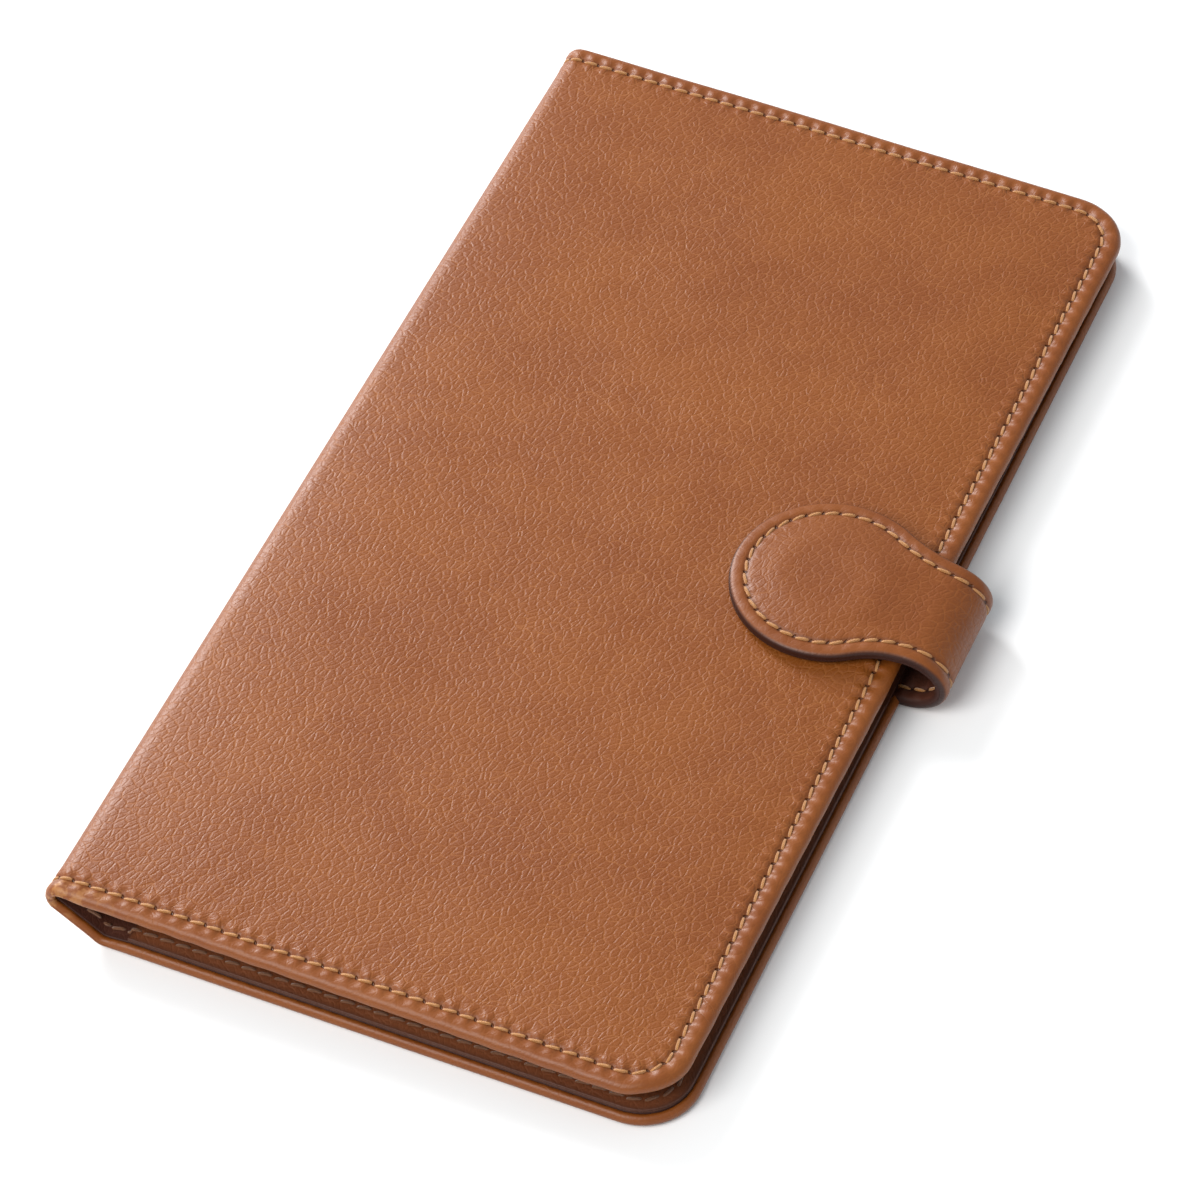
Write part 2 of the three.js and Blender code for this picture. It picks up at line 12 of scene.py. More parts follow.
import bpy
import numpy as np
from mathutils import Matrix, Vector


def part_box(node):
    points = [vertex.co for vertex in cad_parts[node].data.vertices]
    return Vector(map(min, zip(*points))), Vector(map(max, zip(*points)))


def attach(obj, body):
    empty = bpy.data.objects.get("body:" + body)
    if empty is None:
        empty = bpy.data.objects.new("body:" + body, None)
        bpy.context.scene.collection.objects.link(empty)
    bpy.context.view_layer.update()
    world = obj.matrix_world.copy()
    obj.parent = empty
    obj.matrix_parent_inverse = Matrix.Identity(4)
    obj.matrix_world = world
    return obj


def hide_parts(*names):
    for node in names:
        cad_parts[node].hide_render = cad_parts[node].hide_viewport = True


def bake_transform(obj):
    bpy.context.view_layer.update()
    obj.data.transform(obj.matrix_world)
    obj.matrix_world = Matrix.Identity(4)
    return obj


MM = 0.001
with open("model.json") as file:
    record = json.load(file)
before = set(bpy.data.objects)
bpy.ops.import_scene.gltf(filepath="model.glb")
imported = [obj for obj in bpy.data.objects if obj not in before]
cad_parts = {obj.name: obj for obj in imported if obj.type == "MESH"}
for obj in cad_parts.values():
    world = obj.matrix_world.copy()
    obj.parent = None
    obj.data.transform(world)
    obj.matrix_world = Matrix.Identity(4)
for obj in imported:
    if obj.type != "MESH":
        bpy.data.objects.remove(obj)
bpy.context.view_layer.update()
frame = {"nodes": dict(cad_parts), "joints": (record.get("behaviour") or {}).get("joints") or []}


def placed(name, data):
    """A new object in the scene."""
    made = bpy.data.objects.new(name, data)
    bpy.context.scene.collection.objects.link(made)
    return made


# ---- Sizes from the frame ----
def node_box(name):
    low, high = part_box(name)
    return np.array(low) / MM, np.array(high) / MM


def joint_line(name):
    joint = next(j for j in frame["joints"] if j["name"] == name)
    return np.array(joint["pos_m"]) / MM


BACK_HIGH = node_box("back_outer_leather")[1]
FRONT_HIGH = node_box("front_outer_leather")[1]
HALF_LENGTH = BACK_HIGH[1]
BACK_EDGE = BACK_HIGH[0]
FRONT_EDGE = FRONT_HIGH[0]
THICKNESS = FRONT_HIGH[2]
BACK_FOLD = joint_line("spine_open")
SNAP_X, SNAP_Y, _ = sum(node_box("magnet_case")) / 2

LEATHER = 1.0
CORNER_RADIUS = 11.0
TURN_IN_WIDTH = 9.0
SEAM_INSET = 3.6
SEAM_DEPTH = 0.3
STITCH_PITCH = 3.16
THREAD_RADIUS = 0.33


def depth_range(name, side):
    """The depths from the cover's outside face between which a CAD node lies."""
    low, high = node_box(name)
    if side == "back":
        return low[2], high[2]
    return THICKNESS - high[2], THICKNESS - low[2]


# ---- The wallet's section: back cover, leaning spine, rolled top fold, front cover ----
LEAN = math.radians(45)  # of the spine's slope over the resting face
SIN, COS = math.sin(LEAN), math.cos(LEAN)
BOTTOM_RADIUS = 3.2
TOP_RADIUS = 3.2
BOTTOM_CENTRE_X = BACK_FOLD[0] + 0.8
NEAR_HEIGHT, FAR_HEIGHT = 12.4, 11.6  # of the top fold
NEAR_REACH, FAR_REACH = 1.7, 1.2  # how much further out the top fold is pressed at each end
NEAR_SINK, SINK_REACH = 0.3, 14.0  # the near end of the fold lies lower, and how far in
SPINE_BULGE = 0.25
NEAR_DROOP, FAR_DROOP = 1.9, 2.1  # how much lower the front cover's free edge lies
NEAR_EDGE_SHIFT, FAR_EDGE_SHIFT = -0.5, 1.6  # the front cover lies slightly askew
CROWN = 1.15  # how far the padded cover swells
CROWN_REACH = 10.0
HELD_FROM, HELD_TO = 9, 24  # round the snap, the swell is held down to the cover's own height
EDGE_ZONE = 20.0  # q up to here is a true distance from the free edge

BOTTOM_RISE = BOTTOM_RADIUS * (1 - COS)
BOTTOM_END_X = BOTTOM_CENTRE_X - BOTTOM_RADIUS * SIN
MEAN_HEIGHT = (NEAR_HEIGHT + FAR_HEIGHT) / 2


def spine_slope_length(height):
    return (height - TOP_RADIUS * (1 + COS) - BOTTOM_RISE) / SIN


def top_fold_x(height):
    return BOTTOM_END_X - spine_slope_length(height) * COS + TOP_RADIUS * SIN


HALF_SLOPE = spine_slope_length(MEAN_HEIGHT) / 2
FRONT_FLAT = FRONT_EDGE - top_fold_x(MEAN_HEIGHT)
TOP_ARC = TOP_RADIUS * (math.pi - LEAN)
BACK_FLAT = BACK_EDGE - BOTTOM_CENTRE_X
BOTTOM_ARC = BOTTOM_RADIUS * LEAN
FLAT = {"front": FRONT_FLAT, "back": BACK_FLAT}  # q where the fold begins
SPAN = {"front": FRONT_FLAT + TOP_ARC + HALF_SLOPE, "back": BACK_FLAT + BOTTOM_ARC + HALF_SLOPE}


def smoothstep(low, high, value):
    t = np.clip((value - low) / (high - low), 0, 1)
    return t * t * (3 - 2 * t)


def between(near, far, t):
    return near + (far - near) * t


def bulge(part):
    """How far the spine stands out from its straight slope. part is 0 at one fold, 1 at the other."""
    return SPINE_BULGE * np.sin(math.pi * np.clip(part, 0, 1)) ** 1.4


def pressed(t, share):
    """The spine's shifts in x and z. share is 1 at the top fold and 0 at the foot."""
    share = share**2
    return -between(FAR_REACH, NEAR_REACH, 1 - t) * share, -NEAR_SINK * (1 - t) * share


def along(y):
    """0 at the near end of the wallet, 1 at the far end."""
    return np.clip((y / HALF_LENGTH + 1) / 2, 0, 1)


def rising(distance, reach):
    return 1 - np.exp(-np.maximum(distance, 0) / reach)


def undulation(q, y):
    """Soft unevenness of a padded cover."""
    slow = 0.10 * np.sin(0.071 * q + 0.031 * y + 0.6) * np.sin(0.047 * y - 0.052 * q + 1.1)
    quick = 0.045 * np.sin(0.19 * q - 0.11 * y + 2.0) * np.sin(0.15 * y + 0.07 * q)
    return slow + quick


def pucker(q, y):
    """Shallow creases that run from the seams into the cover."""
    near = y + HALF_LENGTH
    fan = 0.07 * np.sin(0.95 * q + 0.5 * near + 1.5 * np.sin(0.13 * q))
    across = 0.05 * np.sin(0.8 * y + 0.35 * q + 1.8 * np.sin(0.09 * y))
    strength = 0.4 + 0.6 * np.sin(0.045 * q + 0.8) ** 2
    near_part = fan * strength * np.exp(-np.maximum(near - 4, 0) / 9)
    edge_part = across * np.exp(-np.maximum(q - 4, 0) / 8)
    return near_part + edge_part


def front_base(q, y):
    t = along(y)
    height = between(NEAR_HEIGHT, FAR_HEIGHT, t)
    slope = spine_slope_length(height)
    fold_x = top_fold_x(height)
    flat_fold_x = fold_x + pressed(t, 1)[0]
    edge_x = FRONT_EDGE + between(NEAR_EDGE_SHIFT, FAR_EDGE_SHIFT, t)
    stretch = (edge_x - flat_fold_x - EDGE_ZONE) / (FRONT_FLAT - EDGE_ZONE)
    flat_x = edge_x - np.where(q < EDGE_ZONE, q, EDGE_ZONE + (q - EDGE_ZONE) * stretch)
    turn = np.clip((q - FRONT_FLAT) / TOP_RADIUS, 0, math.pi - LEAN)
    down = np.clip(q - FRONT_FLAT - TOP_ARC, 0, None) * slope / (2 * HALF_SLOPE)
    x = np.where(q < FRONT_FLAT, flat_x, fold_x - TOP_RADIUS * np.sin(turn) + down * COS)
    z = height - TOP_RADIUS * (1 - np.cos(turn)) - down * SIN
    part = down / slope
    shift_x, shift_z = pressed(t, 1 - part)
    x = x - bulge(part) * SIN + np.where(q < FRONT_FLAT, 0, shift_x)
    z = z - bulge(part) * COS + shift_z * np.exp(-np.maximum(FRONT_FLAT - q, 0) / SINK_REACH)
    z = z - between(NEAR_DROOP, FAR_DROOP, t) * np.clip(1 - q / FRONT_FLAT, 0, 1) ** 1.3
    end = HALF_LENGTH - np.abs(y)
    swell = CROWN * rising(q - 3.5, CROWN_REACH) * rising(end - 3.5, CROWN_REACH)
    swell *= rising(FRONT_FLAT + 3 - q, CROWN_REACH)
    swell += undulation(q, y) * rising(FRONT_FLAT - q, 12)
    swell += pucker(q, y) * rising(FRONT_FLAT - q, 4)
    snap = np.hypot(x - SNAP_X, y - SNAP_Y)
    held = 1 - smoothstep(HELD_FROM, HELD_TO, snap)
    x = x - swell * np.sin(turn)
    z = z + swell * np.cos(turn)
    z = z + (THICKNESS - z) * held
    return np.stack([x, y + 0 * x, z], -1)


def back_base(q, y):
    t = along(y)
    turn = np.clip((q - BACK_FLAT) / BOTTOM_RADIUS, 0, LEAN)
    slope = spine_slope_length(between(NEAR_HEIGHT, FAR_HEIGHT, t))
    up = np.clip(q - BACK_FLAT - BOTTOM_ARC, 0, None) * slope / (2 * HALF_SLOPE)
    flat_x = BACK_EDGE - q
    x = np.where(q < BACK_FLAT, flat_x, BOTTOM_CENTRE_X - BOTTOM_RADIUS * np.sin(turn) - up * COS)
    z = BOTTOM_RADIUS * (1 - np.cos(turn)) + up * SIN
    part = up / slope
    shift_x, shift_z = pressed(t, part)
    x = x - bulge(part) * SIN + shift_x
    z = z - bulge(part) * COS + shift_z
    return np.stack([x, y + 0 * x, z], -1)


BASE = {"front": front_base, "back": back_base}


def unit(vectors):
    return vectors / np.maximum(np.linalg.norm(vectors, axis=-1, keepdims=True), 1e-12)


def outward(side, q, y):
    """The outer face's normal. q runs against +X on the front cover's top and the back's foot."""
    step = 0.05
    base = BASE[side]
    by_q = base(q + step, y) - base(q - step, y)
    by_y = base(q, y + step) - base(q, y - step)
    normal = unit(np.cross(by_y, by_q))
    return normal if side == "front" else -normal


def warp(side, q, y, depth):
    """Lays flat points on the cover. A negative depth stands proud of the outer face."""
    q, y, depth = np.broadcast_arrays(q, y, depth)
    return BASE[side](q, y) - outward(side, q, y) * depth[..., None]


# ---- Grids over rounded panels ----
def spread(low, high, low_offsets, high_offsets, step):
    """Line positions from low to high, set close together beside each edge."""
    start = low + np.array(low_offsets)
    stop = high - np.array(high_offsets)[::-1]
    count = max(2, round((stop[0] - start[-1]) / step) + 1)
    return np.concatenate([start, np.linspace(start[-1], stop[0], count)[1:-1], stop])


def rounding_offsets(radius, count):
    return [radius * (1 - math.sin(math.pi / 2 * (1 - i / count))) for i in range(count + 1)]


def flat_grid(q_lines, y_lines, radii, spine_edge):
    """Flat positions, distances from the nearest edge, and directions out of that edge."""
    q, y = np.meshgrid(q_lines, y_lines, indexing="ij")
    q0, q1, y0, y1 = q_lines[0], q_lines[-1], y_lines[0], y_lines[-1]
    near, far = y - y0, y1 - y
    towards = np.where(near < far, -1.0, 1.0)
    end = np.minimum(near, far)
    side = q - q0
    distance = np.minimum(side, end)
    out_q = np.where(side <= end, -1.0, 0.0)
    out_y = np.where(side <= end, 0.0, towards)
    if spine_edge:
        inner = q1 - q
        closer = inner < distance
        distance = np.where(closer, inner, distance)
        out_q = np.where(closer, 1.0, out_q)
        out_y = np.where(closer, 0.0, out_y)
    for radius, is_end in ((radii[0], near <= far), (radii[1], near > far)):
        if radius <= 0:
            continue
        corner = is_end & (side < radius) & (end < radius)
        u = (radius - side) / radius
        v = (radius - end) / radius
        largest = np.maximum(u, v)
        length = np.maximum(np.hypot(u, v), 1e-9)
        edge_y = np.where(towards < 0, y0, y1)
        q = np.where(corner, q0 + radius - u * largest / length * radius, q)
        round_y = edge_y - towards * (radius - v * largest / length * radius)
        y = np.where(corner, round_y, y)
        distance = np.where(corner, radius * (1 - largest), distance)
        out_q = np.where(corner, -u / length, out_q)
        out_y = np.where(corner, towards * v / length, out_y)
    return q, y, distance, out_q, out_y


def rounded_depth(distance, radius):
    """How far a rolled edge has dropped at a distance from the edge."""
    inside = np.clip(radius - distance, 0, radius)
    return radius - np.sqrt(np.maximum(radius**2 - inside**2, 0))


def edge_uv(distance, radius):
    """The leather's own distance at a rolled edge, where it curls down past the edge."""
    inside = np.clip((radius - distance) / radius, 0, 1)
    return np.where(distance < radius, radius - radius * np.arcsin(inside), distance)


# ---- Meshes ----
SHARP_ANGLE = math.radians(52)


def make_mesh(name, points, faces, uv=None, values=None):
    """A mesh of quads. values are named numbers, one for each vertex."""
    mesh = bpy.data.meshes.new(name)
    mesh.vertices.add(len(points))
    mesh.vertices.foreach_set("co", (points * MM).astype(np.float32).ravel())
    mesh.loops.add(faces.size)
    mesh.loops.foreach_set("vertex_index", faces.astype(np.int32).ravel())
    mesh.polygons.add(len(faces))
    mesh.polygons.foreach_set("loop_start", np.arange(0, faces.size, 4, dtype=np.int32))
    mesh.update(calc_edges=True)
    if uv is not None:
        layer = mesh.uv_layers.new(name="grain")
        layer.uv.foreach_set("vector", (uv[faces.ravel()] * MM).astype(np.float32).ravel())
    for key, numbers in (values or {}).items():
        attribute = mesh.attributes.new(key, "FLOAT", "POINT")
        attribute.data.foreach_set("value", numbers.astype(np.float32).ravel())
    mesh.polygons.foreach_set("use_smooth", np.ones(len(faces), bool))
    mesh.update()
    mesh.set_sharp_from_angle(angle=SHARP_ANGLE)
    return placed(name, mesh)


def facing_out(points, faces):
    a, b, c, d = (points[faces[:, i]] for i in range(4))
    volume = np.einsum("ij,ij->i", a, np.cross(b, c)) + np.einsum("ij,ij->i", a, np.cross(c, d))
    return faces if volume.sum() > 0 else faces[:, ::-1]


def shell_faces(rows, columns):
    """Two grids of the same size, and the wall that joins their borders."""
    index = np.arange(rows * columns).reshape(rows, columns)
    corners = (index[:-1, :-1], index[1:, :-1], index[1:, 1:], index[:-1, 1:])
    top = np.stack(corners, -1).reshape(-1, 4)
    bottom = top[:, ::-1] + rows * columns
    border = np.concatenate([index[:, 0], index[-1, 1:], index[-2::-1, -1], index[0, -2:0:-1]])
    after = np.roll(border, -1)
    wall = np.stack([after, border, border + rows * columns, after + rows * columns], -1)
    return np.concatenate([top, bottom, wall])


def shell(name, top, bottom, top_uv, bottom_uv, values=None):
    """A closed sheet. A value is one for both faces' vertices, or has the top's and the bottom's."""
    points = np.concatenate([top.reshape(-1, 3), bottom.reshape(-1, 3)])
    uv = np.concatenate([top_uv.reshape(-1, 2), bottom_uv.reshape(-1, 2)])
    faces = facing_out(points, shell_faces(*top.shape[:2]))
    both = (2, *top.shape[:2])
    values = {key: np.broadcast_to(value, both) for key, value in (values or {}).items()}
    return make_mesh(name, points, faces, uv, values)


def wear(piece, material, *nodes, slot=None):
    """Gives a piece its material and hides the CAD nodes that it stands for. slot is not used."""
    piece.data.materials.clear()
    piece.data.materials.append(material)
    if nodes:
        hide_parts(*nodes)
    return piece


# ---- The seam round a cover ----
SEAM_ARC_RADIUS = CORNER_RADIUS - SEAM_INSET
SEAM_ARC = SEAM_ARC_RADIUS * math.pi / 2
SEAM_EDGE = 2 * (HALF_LENGTH - CORNER_RADIUS)


def seam_marks(side):
    """Where the seam, measured from the spine's near end, goes from straight to arc and back."""
    straight = SPAN[side] - CORNER_RADIUS
    return np.cumsum([straight, SEAM_ARC, SEAM_EDGE, SEAM_ARC, straight])


def seam_pitch(side):
    length = seam_marks(side)[-1]
    return length / round(length / STITCH_PITCH)


def seam_flat(side, t, inset):
    """The flat point at a distance along the seam, and at an inset from the cover's edge."""
    a, b, c, d, _ = seam_marks(side)
    radius = CORNER_RADIUS - inset
    near_turn = (t - a) / SEAM_ARC_RADIUS
    far_turn = (t - c) / SEAM_ARC_RADIUS
    legs = [t < a, t < b, t < c, t < d]
    near_q = CORNER_RADIUS - radius * np.sin(near_turn)
    far_q = CORNER_RADIUS - radius * np.cos(far_turn)
    q = np.select(legs, [SPAN[side] - t, near_q, inset + 0 * t, far_q], CORNER_RADIUS + t - d)
    corner_y = HALF_LENGTH - CORNER_RADIUS
    near_y = -corner_y - radius * np.cos(near_turn)
    far_y = corner_y + radius * np.sin(far_turn)
    middle_y = t - b - corner_y
    end_y = HALF_LENGTH - inset
    y = np.select(legs, [-end_y + 0 * t, near_y, middle_y, far_y], end_y)
    return q, y


def seam_position(side, q, y):
    """How far along the seam a flat point lies."""
    a, b, c, d, _ = seam_marks(side)
    corner_y = HALF_LENGTH - CORNER_RADIUS
    to_edge = np.maximum(CORNER_RADIUS - q, 0)
    past_near = np.maximum(-corner_y - y, 0)
    past_far = np.maximum(y - corner_y, 0)
    near_arc = a + SEAM_ARC_RADIUS * np.arctan2(to_edge, np.maximum(past_near, 1e-9))
    far_arc = c + SEAM_ARC_RADIUS * np.arctan2(past_far, np.maximum(to_edge, 1e-9))
    end = HALF_LENGTH - np.abs(y)
    return np.select(
        [(to_edge > 0) & (past_near > 0), (to_edge > 0) & (past_far > 0), q < end, y < 0],
        [near_arc, far_arc, b + y + corner_y, SPAN[side] - q],
        d + q - CORNER_RADIUS,
    )


# ---- Outer leather of a cover, turned in round its edge ----
RIM_RADIUS = 1.1
RIM_THICKNESS = 2.3
RIM_END = (1.0, 1.5)  # the distances from the edge over which the rim thins
TURNED_THICKNESS = 1.97
SPINE_THICKNESS = 1.5
BEAD = {"front": 0.28, "back": 0.0}  # how far the leather stands up outside the seam
WORN_REACH = 9  # round the near end of the top fold
LEATHER_STEP = 1.05
OPEN_LINES = [0, 0.6, 1.2]  # grid lines beside the middle of the spine
SEAM_ZONE = np.concatenate([
    rounding_offsets(RIM_RADIUS, 6),
    np.arange(1.45, 5.4, 0.31),
    [5.7, 6.3, 7.1, 8.0, TURN_IN_WIDTH - 0.03, TURN_IN_WIDTH + 0.03, 10.0, CORNER_RADIUS],
])


def bump(value, centre, width):
    return np.exp(-(((value - centre) / width) ** 2))


def seam_relief(distance, inset, bead):
    """Leather pulled down along the stitches, and standing up on both sides of them."""
    valley = -SEAM_DEPTH * bump(distance, inset, 0.5)
    rolled = bead * bump(distance, inset / 2, inset / 3.4)
    shoulder = 0.4 * bead * bump(distance, inset + 1.6, 1.0)
    return valley + rolled + shoulder


def grain_uv(side, q, y):
    """The leather's flat coordinates, which run on across the middle of the spine."""
    sign = 1 if side == "front" else -1
    return np.stack([sign * (SPAN[side] - q), y], -1)


def outer_leather(side):
    q_lines = spread(0, SPAN[side], SEAM_ZONE, OPEN_LINES, LEATHER_STEP)
    y_lines = spread(-HALF_LENGTH, HALF_LENGTH, SEAM_ZONE, SEAM_ZONE, LEATHER_STEP)
    q, y, distance, out_q, out_y = flat_grid(q_lines, y_lines, (CORNER_RADIUS,) * 2, False)
    drop = rounded_depth(distance, RIM_RADIUS)
    top = warp(side, q, y, drop - seam_relief(distance, SEAM_INSET, BEAD[side]))
    in_spine = smoothstep(FLAT[side] - 4, FLAT[side], q)
    rim = RIM_THICKNESS + (TURNED_THICKNESS - RIM_THICKNESS) * smoothstep(*RIM_END, distance)
    turned = rim + (SPINE_THICKNESS - TURNED_THICKNESS) * in_spine - drop
    bottom = warp(side, q, y, np.where(distance < TURN_IN_WIDTH, turned, LEATHER))
    curl = distance - edge_uv(distance, RIM_RADIUS)
    top_uv = grain_uv(side, q + out_q * curl, y + out_y * curl)
    over = distance + edge_uv(distance, RIM_RADIUS) - 2 * edge_uv(0, RIM_RADIUS)
    bottom_uv = grain_uv(side, q + out_q * over, y + out_y * over)
    position = seam_position(side, q, y) / seam_pitch(side)
    fold = np.hypot(q - FLAT[side] - 2, 0.6 * (y + HALF_LENGTH))
    worn = bump(fold, 0, WORN_REACH) if side == "front" else 0
    values = {"seam_at": position, "seam_in": distance, "rim": 0, "worn": worn}
    return shell(side + "_leather", top, bottom, top_uv, bottom_uv, values)


# ---- Flat layers inside a cover ----
SPINE_LAYER_RISE = 0.45  # the spine has no board, so its lining lies this much nearer the leather
SEW_LINES = [0, 0.04, 0.12, 0.25, 0.6, 1.2, 2.0, 3.0]
EDGE_TINT, EDGE_TINT_WIDTH = 0.9, 0.7  # cut edges are painted darker
BEYOND_SEAM = 10  # keeps a seam's marks off a sheet that has none
LAYER_UV_SHIFT = 400  # so that a sheet's two faces don't show the same grain


def layer_depth(side, depth, q):
    return depth - SPINE_LAYER_RISE * smoothstep(FLAT[side] - 5, FLAT[side] - 0.5, q)


def layer(name, side, depths, q_span, y_span, radii, step=2.5, mouth=None, open_spine=False):
    """A sheet between two depths. mouth(q) moves the far edge, as for a thumb notch."""
    q_lines = spread(*q_span, SEW_LINES, OPEN_LINES if open_spine else SEW_LINES, step)
    y_lines = spread(*y_span, SEW_LINES, SEW_LINES, step)
    q, y, distance, _, _ = flat_grid(q_lines, y_lines, radii, not open_spine)
    if mouth is not None:
        y = y_span[0] + (y - y_span[0]) * (mouth(q) - y_span[0]) / (y_span[1] - y_span[0])
    low, high = depths
    drop = rounded_depth(distance, 0.45 * (high - low))
    fitted = [layer_depth(side, low, q) + drop, layer_depth(side, high, q) - drop]
    faces = [warp(side, q, y, depth) for depth in fitted]
    uv = grain_uv(side, q, y)
    tint = EDGE_TINT * bump(distance, 0, EDGE_TINT_WIDTH)
    values = {"seam_at": 0, "seam_in": distance + BEYOND_SEAM, "rim": tint, "worn": 0}
    return shell(name, *faces, uv, uv + LAYER_UV_SHIFT, values)


# ---- Threads ----
STITCH_FILL = 0.9
STITCH_SLANT = 0.5
STITCH_RISE = 0.46
STITCH_SINK = 0.55


def stitches(name, place, length, pitch, rise=STITCH_RISE):
    """Separate lock stitches. place(t, lateral, height) gives the point at a distance along the
    seam, to one side of it, and above the leather."""
    count = round(length / pitch)
    sides, rings = 6, 8  # the caps below are for six sides
    share = np.linspace(-1, 1, rings)
    middle = (np.arange(count) + 0.5) * length / count
    t = middle[:, None] + share * STITCH_FILL * pitch / 2
    lateral = STITCH_SLANT * share / 2 + 0 * t
    height = rise - STITCH_SINK * np.abs(share) ** 3.5 - THREAD_RADIUS + 0 * t
    centre = place(t, lateral, height)
    up = unit(place(t, lateral, height + 0.1) - centre)
    tangent = unit(np.gradient(centre, axis=1))
    across = unit(np.cross(tangent, up))
    up = np.cross(across, tangent)
    radius = THREAD_RADIUS * (1 - 0.4 * np.abs(share) ** 6)
    turn = 2 * math.pi * np.arange(sides) / sides
    ring = np.cos(turn)[:, None] * across[..., None, :] + np.sin(turn)[:, None] * up[..., None, :]
    points = centre[..., None, :] + radius[None, :, None, None] * ring
    index = np.arange(rings * sides).reshape(rings, sides)
    beside = np.roll(index, -1, 1)
    tube = np.stack([index[:-1], beside[:-1], beside[1:], index[1:]], -1).reshape(-1, 4)
    first, last = index[0], index[-1]
    first_cap = first[[[3, 2, 1, 0], [0, 5, 4, 3]]]
    last_cap = last[[[0, 1, 2, 3], [3, 4, 5, 0]]]
    one = np.concatenate([tube, first_cap, last_cap])
    faces = (one[None] + (np.arange(count) * rings * sides)[:, None, None]).reshape(-1, 4)
    points = points.reshape(-1, 3)
    uv = np.stack(np.broadcast_arrays(t[..., None], turn * THREAD_RADIUS + 0 * t[..., None]), -1)
    return make_mesh(name, points, facing_out(points, faces), uv.reshape(-1, 2))


def cover_stitches(side, face_depth, name, rise=STITCH_RISE):
    """face_depth is None on the outer face, or gives the inner face's depth at a flat point."""
    def place(t, lateral, height):
        inset = SEAM_INSET + lateral
        q, y = seam_flat(side, t, inset)
        if face_depth is None:
            return warp(side, q, y, SEAM_DEPTH - height)
        return warp(side, q, y, face_depth(q, y) + height)

    return stitches(name, place, seam_marks(side)[-1], seam_pitch(side), rise)


# ---- Tab and strap: (a, b, h) is along, across and above the strap's middle ----
STRAP_JOINTS = ["tab_open"] + [f"strap_bend_{i}" for i in range(2, 6)]
FIRST_JOINT, SECOND_JOINT, *_, LAST_JOINT = map(joint_line, STRAP_JOINTS)
HALF_LINK = np.linalg.norm(SECOND_JOINT - FIRST_JOINT) / 2
LOOP_START = LAST_JOINT[0] - HALF_LINK
LOOP_RADIUS = (LAST_JOINT[2] - FIRST_JOINT[2]) / 2
LOOP_MIDDLE = (LAST_JOINT[2] + FIRST_JOINT[2]) / 2
STRAP_PIECES = len(STRAP_JOINTS)
LOOP_STEP = math.pi / STRAP_PIECES
TAB_HIGH = node_box("tab_outer_leather")[1]
HEAD_RADIUS = TAB_HIGH[1] - SNAP_Y
STRAP_HALF = node_box("strap_link_1_outer")[1][1] - SNAP_Y
TAB_HALF_THICKNESS = TAB_HIGH[2] - LAST_JOINT[2]
SHOULDER_RADIUS = 23.0
SHOULDER_X = SNAP_X + math.sqrt(
    (HEAD_RADIUS + SHOULDER_RADIUS) ** 2 - (STRAP_HALF + SHOULDER_RADIUS) ** 2
)
TAB_SEAM_INSET = 3.0
TAB_EXACT = 7.0  # lines up to here keep their distance from the tab's edge
TAB_RIM_RADIUS = 0.85
HEAD_SAG, HEAD_SAG_REACH = 1.25, 10.5  # the tab's edge bends down to the cover
HELD_THINNING = 0.4  # the strap is pressed thinner where the back cover holds it
LOOP_SAG, LOOP_PUSH = 1.6, 0.8  # the strap drops over the cover's edge and is rolled outwards
STRAP_TUCK = 1.6  # the strap's end is held this far inside the back cover's edge
TAB_ZONE = np.concatenate([
    rounding_offsets(TAB_RIM_RADIUS, 5), np.arange(1.15, 4.9, 0.27), [5.2, 5.8, TAB_EXACT],
])
PATH_POINTS = 400  # along each leg of the seam, and round its head


def half_width(a, inset):
    """Half the tab's or strap's width at a, less an inset."""
    from_head = a - SNAP_X
    radius = HEAD_RADIUS - inset
    reach = SHOULDER_X - SNAP_X
    tangent = radius / (HEAD_RADIUS + SHOULDER_RADIUS) * reach
    head = np.sqrt(np.maximum(radius**2 - from_head**2, 0))
    hollow = np.sqrt(np.maximum((SHOULDER_RADIUS + inset) ** 2 - (reach - from_head) ** 2, 0))
    shoulder = STRAP_HALF + SHOULDER_RADIUS - hollow
    return np.where(from_head < tangent, head, np.where(a < SHOULDER_X, shoulder, STRAP_HALF - inset))


def strap_point(a, b, h, distance):
    """Lays a strap point on the tab, the loop or the strap's fixed end."""
    a, b, h, distance = np.broadcast_arrays(a, b, h, distance)
    turn = np.clip((a - LOOP_START) / LOOP_RADIUS, 0, math.pi)
    past = np.clip(a - LOOP_START - math.pi * LOOP_RADIUS, 0, None)
    near_edge = 1 - smoothstep(0, HEAD_SAG_REACH, distance)
    sag = HEAD_SAG * near_edge * (1 - smoothstep(LOOP_START - 13, LOOP_START - 2, a))
    held = smoothstep(-0.5, 1.8, past - (LOOP_START - BACK_EDGE))
    height = h * (1 - HELD_THINNING * held) - sag
    x = np.where(a < LOOP_START, a, LOOP_START + (LOOP_RADIUS + height) * np.sin(turn)) - past
    z = LOOP_MIDDLE + (LOOP_RADIUS + height) * np.cos(turn)
    eased = smoothstep(SNAP_X + 7, LOOP_START + 3, a)
    z = z - LOOP_SAG * eased * (1 + np.cos(turn)) / 2
    x = x + LOOP_PUSH * np.sin(turn)
    return np.stack([x, b + SNAP_Y, z], -1)


